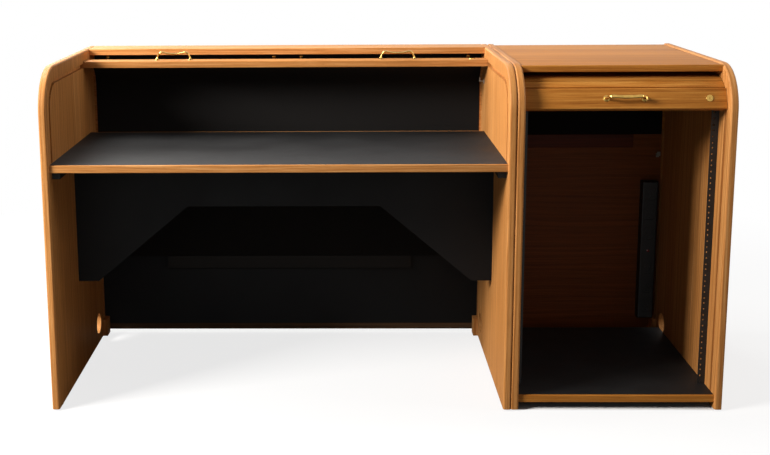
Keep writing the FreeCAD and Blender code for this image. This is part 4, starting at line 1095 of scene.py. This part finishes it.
class TAMBOUR_OT_stage(bpy.types.Operator):
    """Floor, studio lights and camera"""

    bl_idname = "tambour.stage"
    bl_label = "Stage"

    def execute(self, context):
        self.lay_floor()
        self.light()
        self.aim_camera(context)
        context.scene.view_settings.view_transform = "Standard"
        return {"FINISHED"}

    def lay_floor(self):
        bpy.ops.object.select_all(action="DESELECT")
        bpy.ops.mesh.primitive_plane_add(size=40, location=(0, 0, 0))
        floor = settle(newest("studio_floor"))
        made = blank_material("floor_paint_matt")
        tree = made.node_tree
        # Seen by the camera the floor glows nearly as white as the background and keeps the shadow. The
        # glow's share grows from 78 % at 1 m from the middle to all of it at 2.4 m.
        path = add(tree, "LightPath", out="Is Camera Ray")
        paint = {0: path, 6: opaque(finish().floor), 7: WHITE}
        matt = add(tree, "BsdfDiffuse", {"Color": add(tree, "Mix", paint, out=2, data_type="RGBA")})
        glow = add(tree, "Emission", {"Color": WHITE, "Strength": 1})
        place = add(tree, "TexCoord", out="Object")
        far = add(tree, "VectorMath", {0: place}, out="Value", operation="LENGTH")
        values = {"Value": far, "From Min": 1, "From Max": 2.4, "To Min": 0.78, "To Max": 1}
        share = add(tree, "MapRange", values)
        share = add(tree, "Math", {0: path, 1: share}, operation="MULTIPLY")
        # Under the closed rack bay, and 4 mm under its sides, it does not glow.
        left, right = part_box("rack_side_left")[1].x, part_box("rack_side_right")[0].x
        front, back = -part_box("rack_back_panel")[1].y, SIDE_HIGH.y
        middle, half = (left + right) / 2, (right - left) / 2 + 0.004
        x, y = add(tree, "SeparateXYZ", {"Vector": place}).node.outputs[:2]
        beside = add(tree, "Math", {0: x, 1: middle, 2: half}, operation="COMPARE")
        middle, half = (front + back) / 2, (back - front) / 2
        under = add(tree, "Math", {0: y, 1: middle, 2: half}, operation="COMPARE")
        under = add(tree, "Math", {0: beside, 1: under}, operation="MULTIPLY")
        clear = add(tree, "Math", {0: 1, 1: under}, operation="SUBTRACT")
        share = add(tree, "Math", {0: share, 1: clear}, operation="MULTIPLY")
        mixed = add(tree, "MixShader", {0: share, 1: matt, 2: glow})
        add(tree, "OutputMaterial", {"Surface": mixed})
        floor.data.materials.append(made)

    def light(self):
        # Softboxes: name, place, what they point at, watts and side. The key stands high on the left.
        # All are slightly warm, and the sky lights the object dimly from all sides.
        for name, place, aim, power, side in (
            ("key_softbox", (-3.2, -1.7, 2.25), (0.1, 0, 0.5), 262, 1.1),
            ("top_softbox", (-1.35, 0.25, 2.25), (-0.1, 0, 0.6), 42, 0.8),
            ("rear_softbox", (-2.4, 3.3, 2.8), (0, 0, 0.5), 75, 2.0),
            ("right_softbox", (3.3, -0.3, 1.9), (0, 0, 0.5), 42, 1.6),
        ):
            lamp = bpy.data.lights.new(name, "AREA")
            lamp.energy = power
            lamp.size = side
            lamp.color = (1.0, 0.97, 0.93)
            holder = bpy.data.objects.new(name, lamp)
            bpy.context.scene.collection.objects.link(holder)
            holder.location = place
            away = Vector(place) - Vector(aim)
            holder.rotation_euler = away.to_track_quat("Z", "Y").to_euler()
        world = bpy.data.worlds.new("studio")
        bpy.context.scene.world = world
        world.use_nodes = True
        tree = world.node_tree
        tree.nodes.clear()
        rays = add(tree, "LightPath").node.outputs
        seen = rays["Is Camera Ray"]
        for kind in ("Is Glossy Ray", "Is Transmission Ray"):
            seen = add(tree, "Math", {0: seen, 1: rays[kind]}, operation="MAXIMUM")
        level = add(tree, "MapRange", {"Value": seen, "To Min": 0.09, "To Max": 1})
        sky = add(tree, "Background", {"Color": WHITE, "Strength": level})
        add(tree, "OutputWorld", {"Surface": sky})

    def aim_camera(self, context):
        lens = bpy.data.cameras.new("camera")
        lens.sensor_width = 36
        lens.lens = 54.6155
        lens.shift_x = 0.08249
        lens.shift_y = -0.105
        holder = bpy.data.objects.new("camera", lens)
        context.scene.collection.objects.link(holder)
        holder.location = (-0.11009, -3.07936, 1.1812)
        holder.rotation_euler = (1.39099, 0.00616, 0.01579)
        context.scene.camera = holder


class TAMBOUR_PT_panel(bpy.types.Panel):
    """Pieces, sizes and finishes of the tambour desk"""

    bl_idname = "TAMBOUR_PT_panel"
    bl_label = "Tambour Desk"
    bl_space_type = "VIEW_3D"
    bl_region_type = "UI"
    bl_category = "Tambour Desk"

    def draw(self, context):
        column = self.layout.column()
        for operator in OPERATORS:
            column.operator(operator.bl_idname)
        for group in (context.scene.tambour_sizes, context.scene.tambour_finish):
            box = self.layout.box()
            for name in group.bl_rna.properties.keys():
                if name not in ("rna_type", "name"):
                    box.prop(group, name)


OPERATORS = [TAMBOUR_OT_stage]
OPERATORS += [coating_operator(*entry) for entry in GROUPS]
OPERATORS += [
    TAMBOUR_OT_rack_top,
    TAMBOUR_OT_rack_shelf,
    TAMBOUR_OT_desk_curtain,
    TAMBOUR_OT_rack_curtain,
    TAMBOUR_OT_rosettes,
    TAMBOUR_OT_pulls,
    TAMBOUR_OT_panel_screws,
]
CLASSES = [TAMBOUR_PG_sizes, TAMBOUR_PG_finish, *OPERATORS, TAMBOUR_PT_panel]


def register():
    for each in CLASSES:
        bpy.utils.register_class(each)
    bpy.types.Scene.tambour_sizes = PointerProperty(type=TAMBOUR_PG_sizes)
    bpy.types.Scene.tambour_finish = PointerProperty(type=TAMBOUR_PG_finish)


def unregister():
    del bpy.types.Scene.tambour_finish
    del bpy.types.Scene.tambour_sizes
    for each in reversed(CLASSES):
        bpy.utils.unregister_class(each)


def main():
    register()
    for operator in OPERATORS:
        group, name = operator.bl_idname.split(".")
        getattr(getattr(bpy.ops, group), name)()
    bpy.context.view_layer.update()


if __name__ == "__main__":
    main()
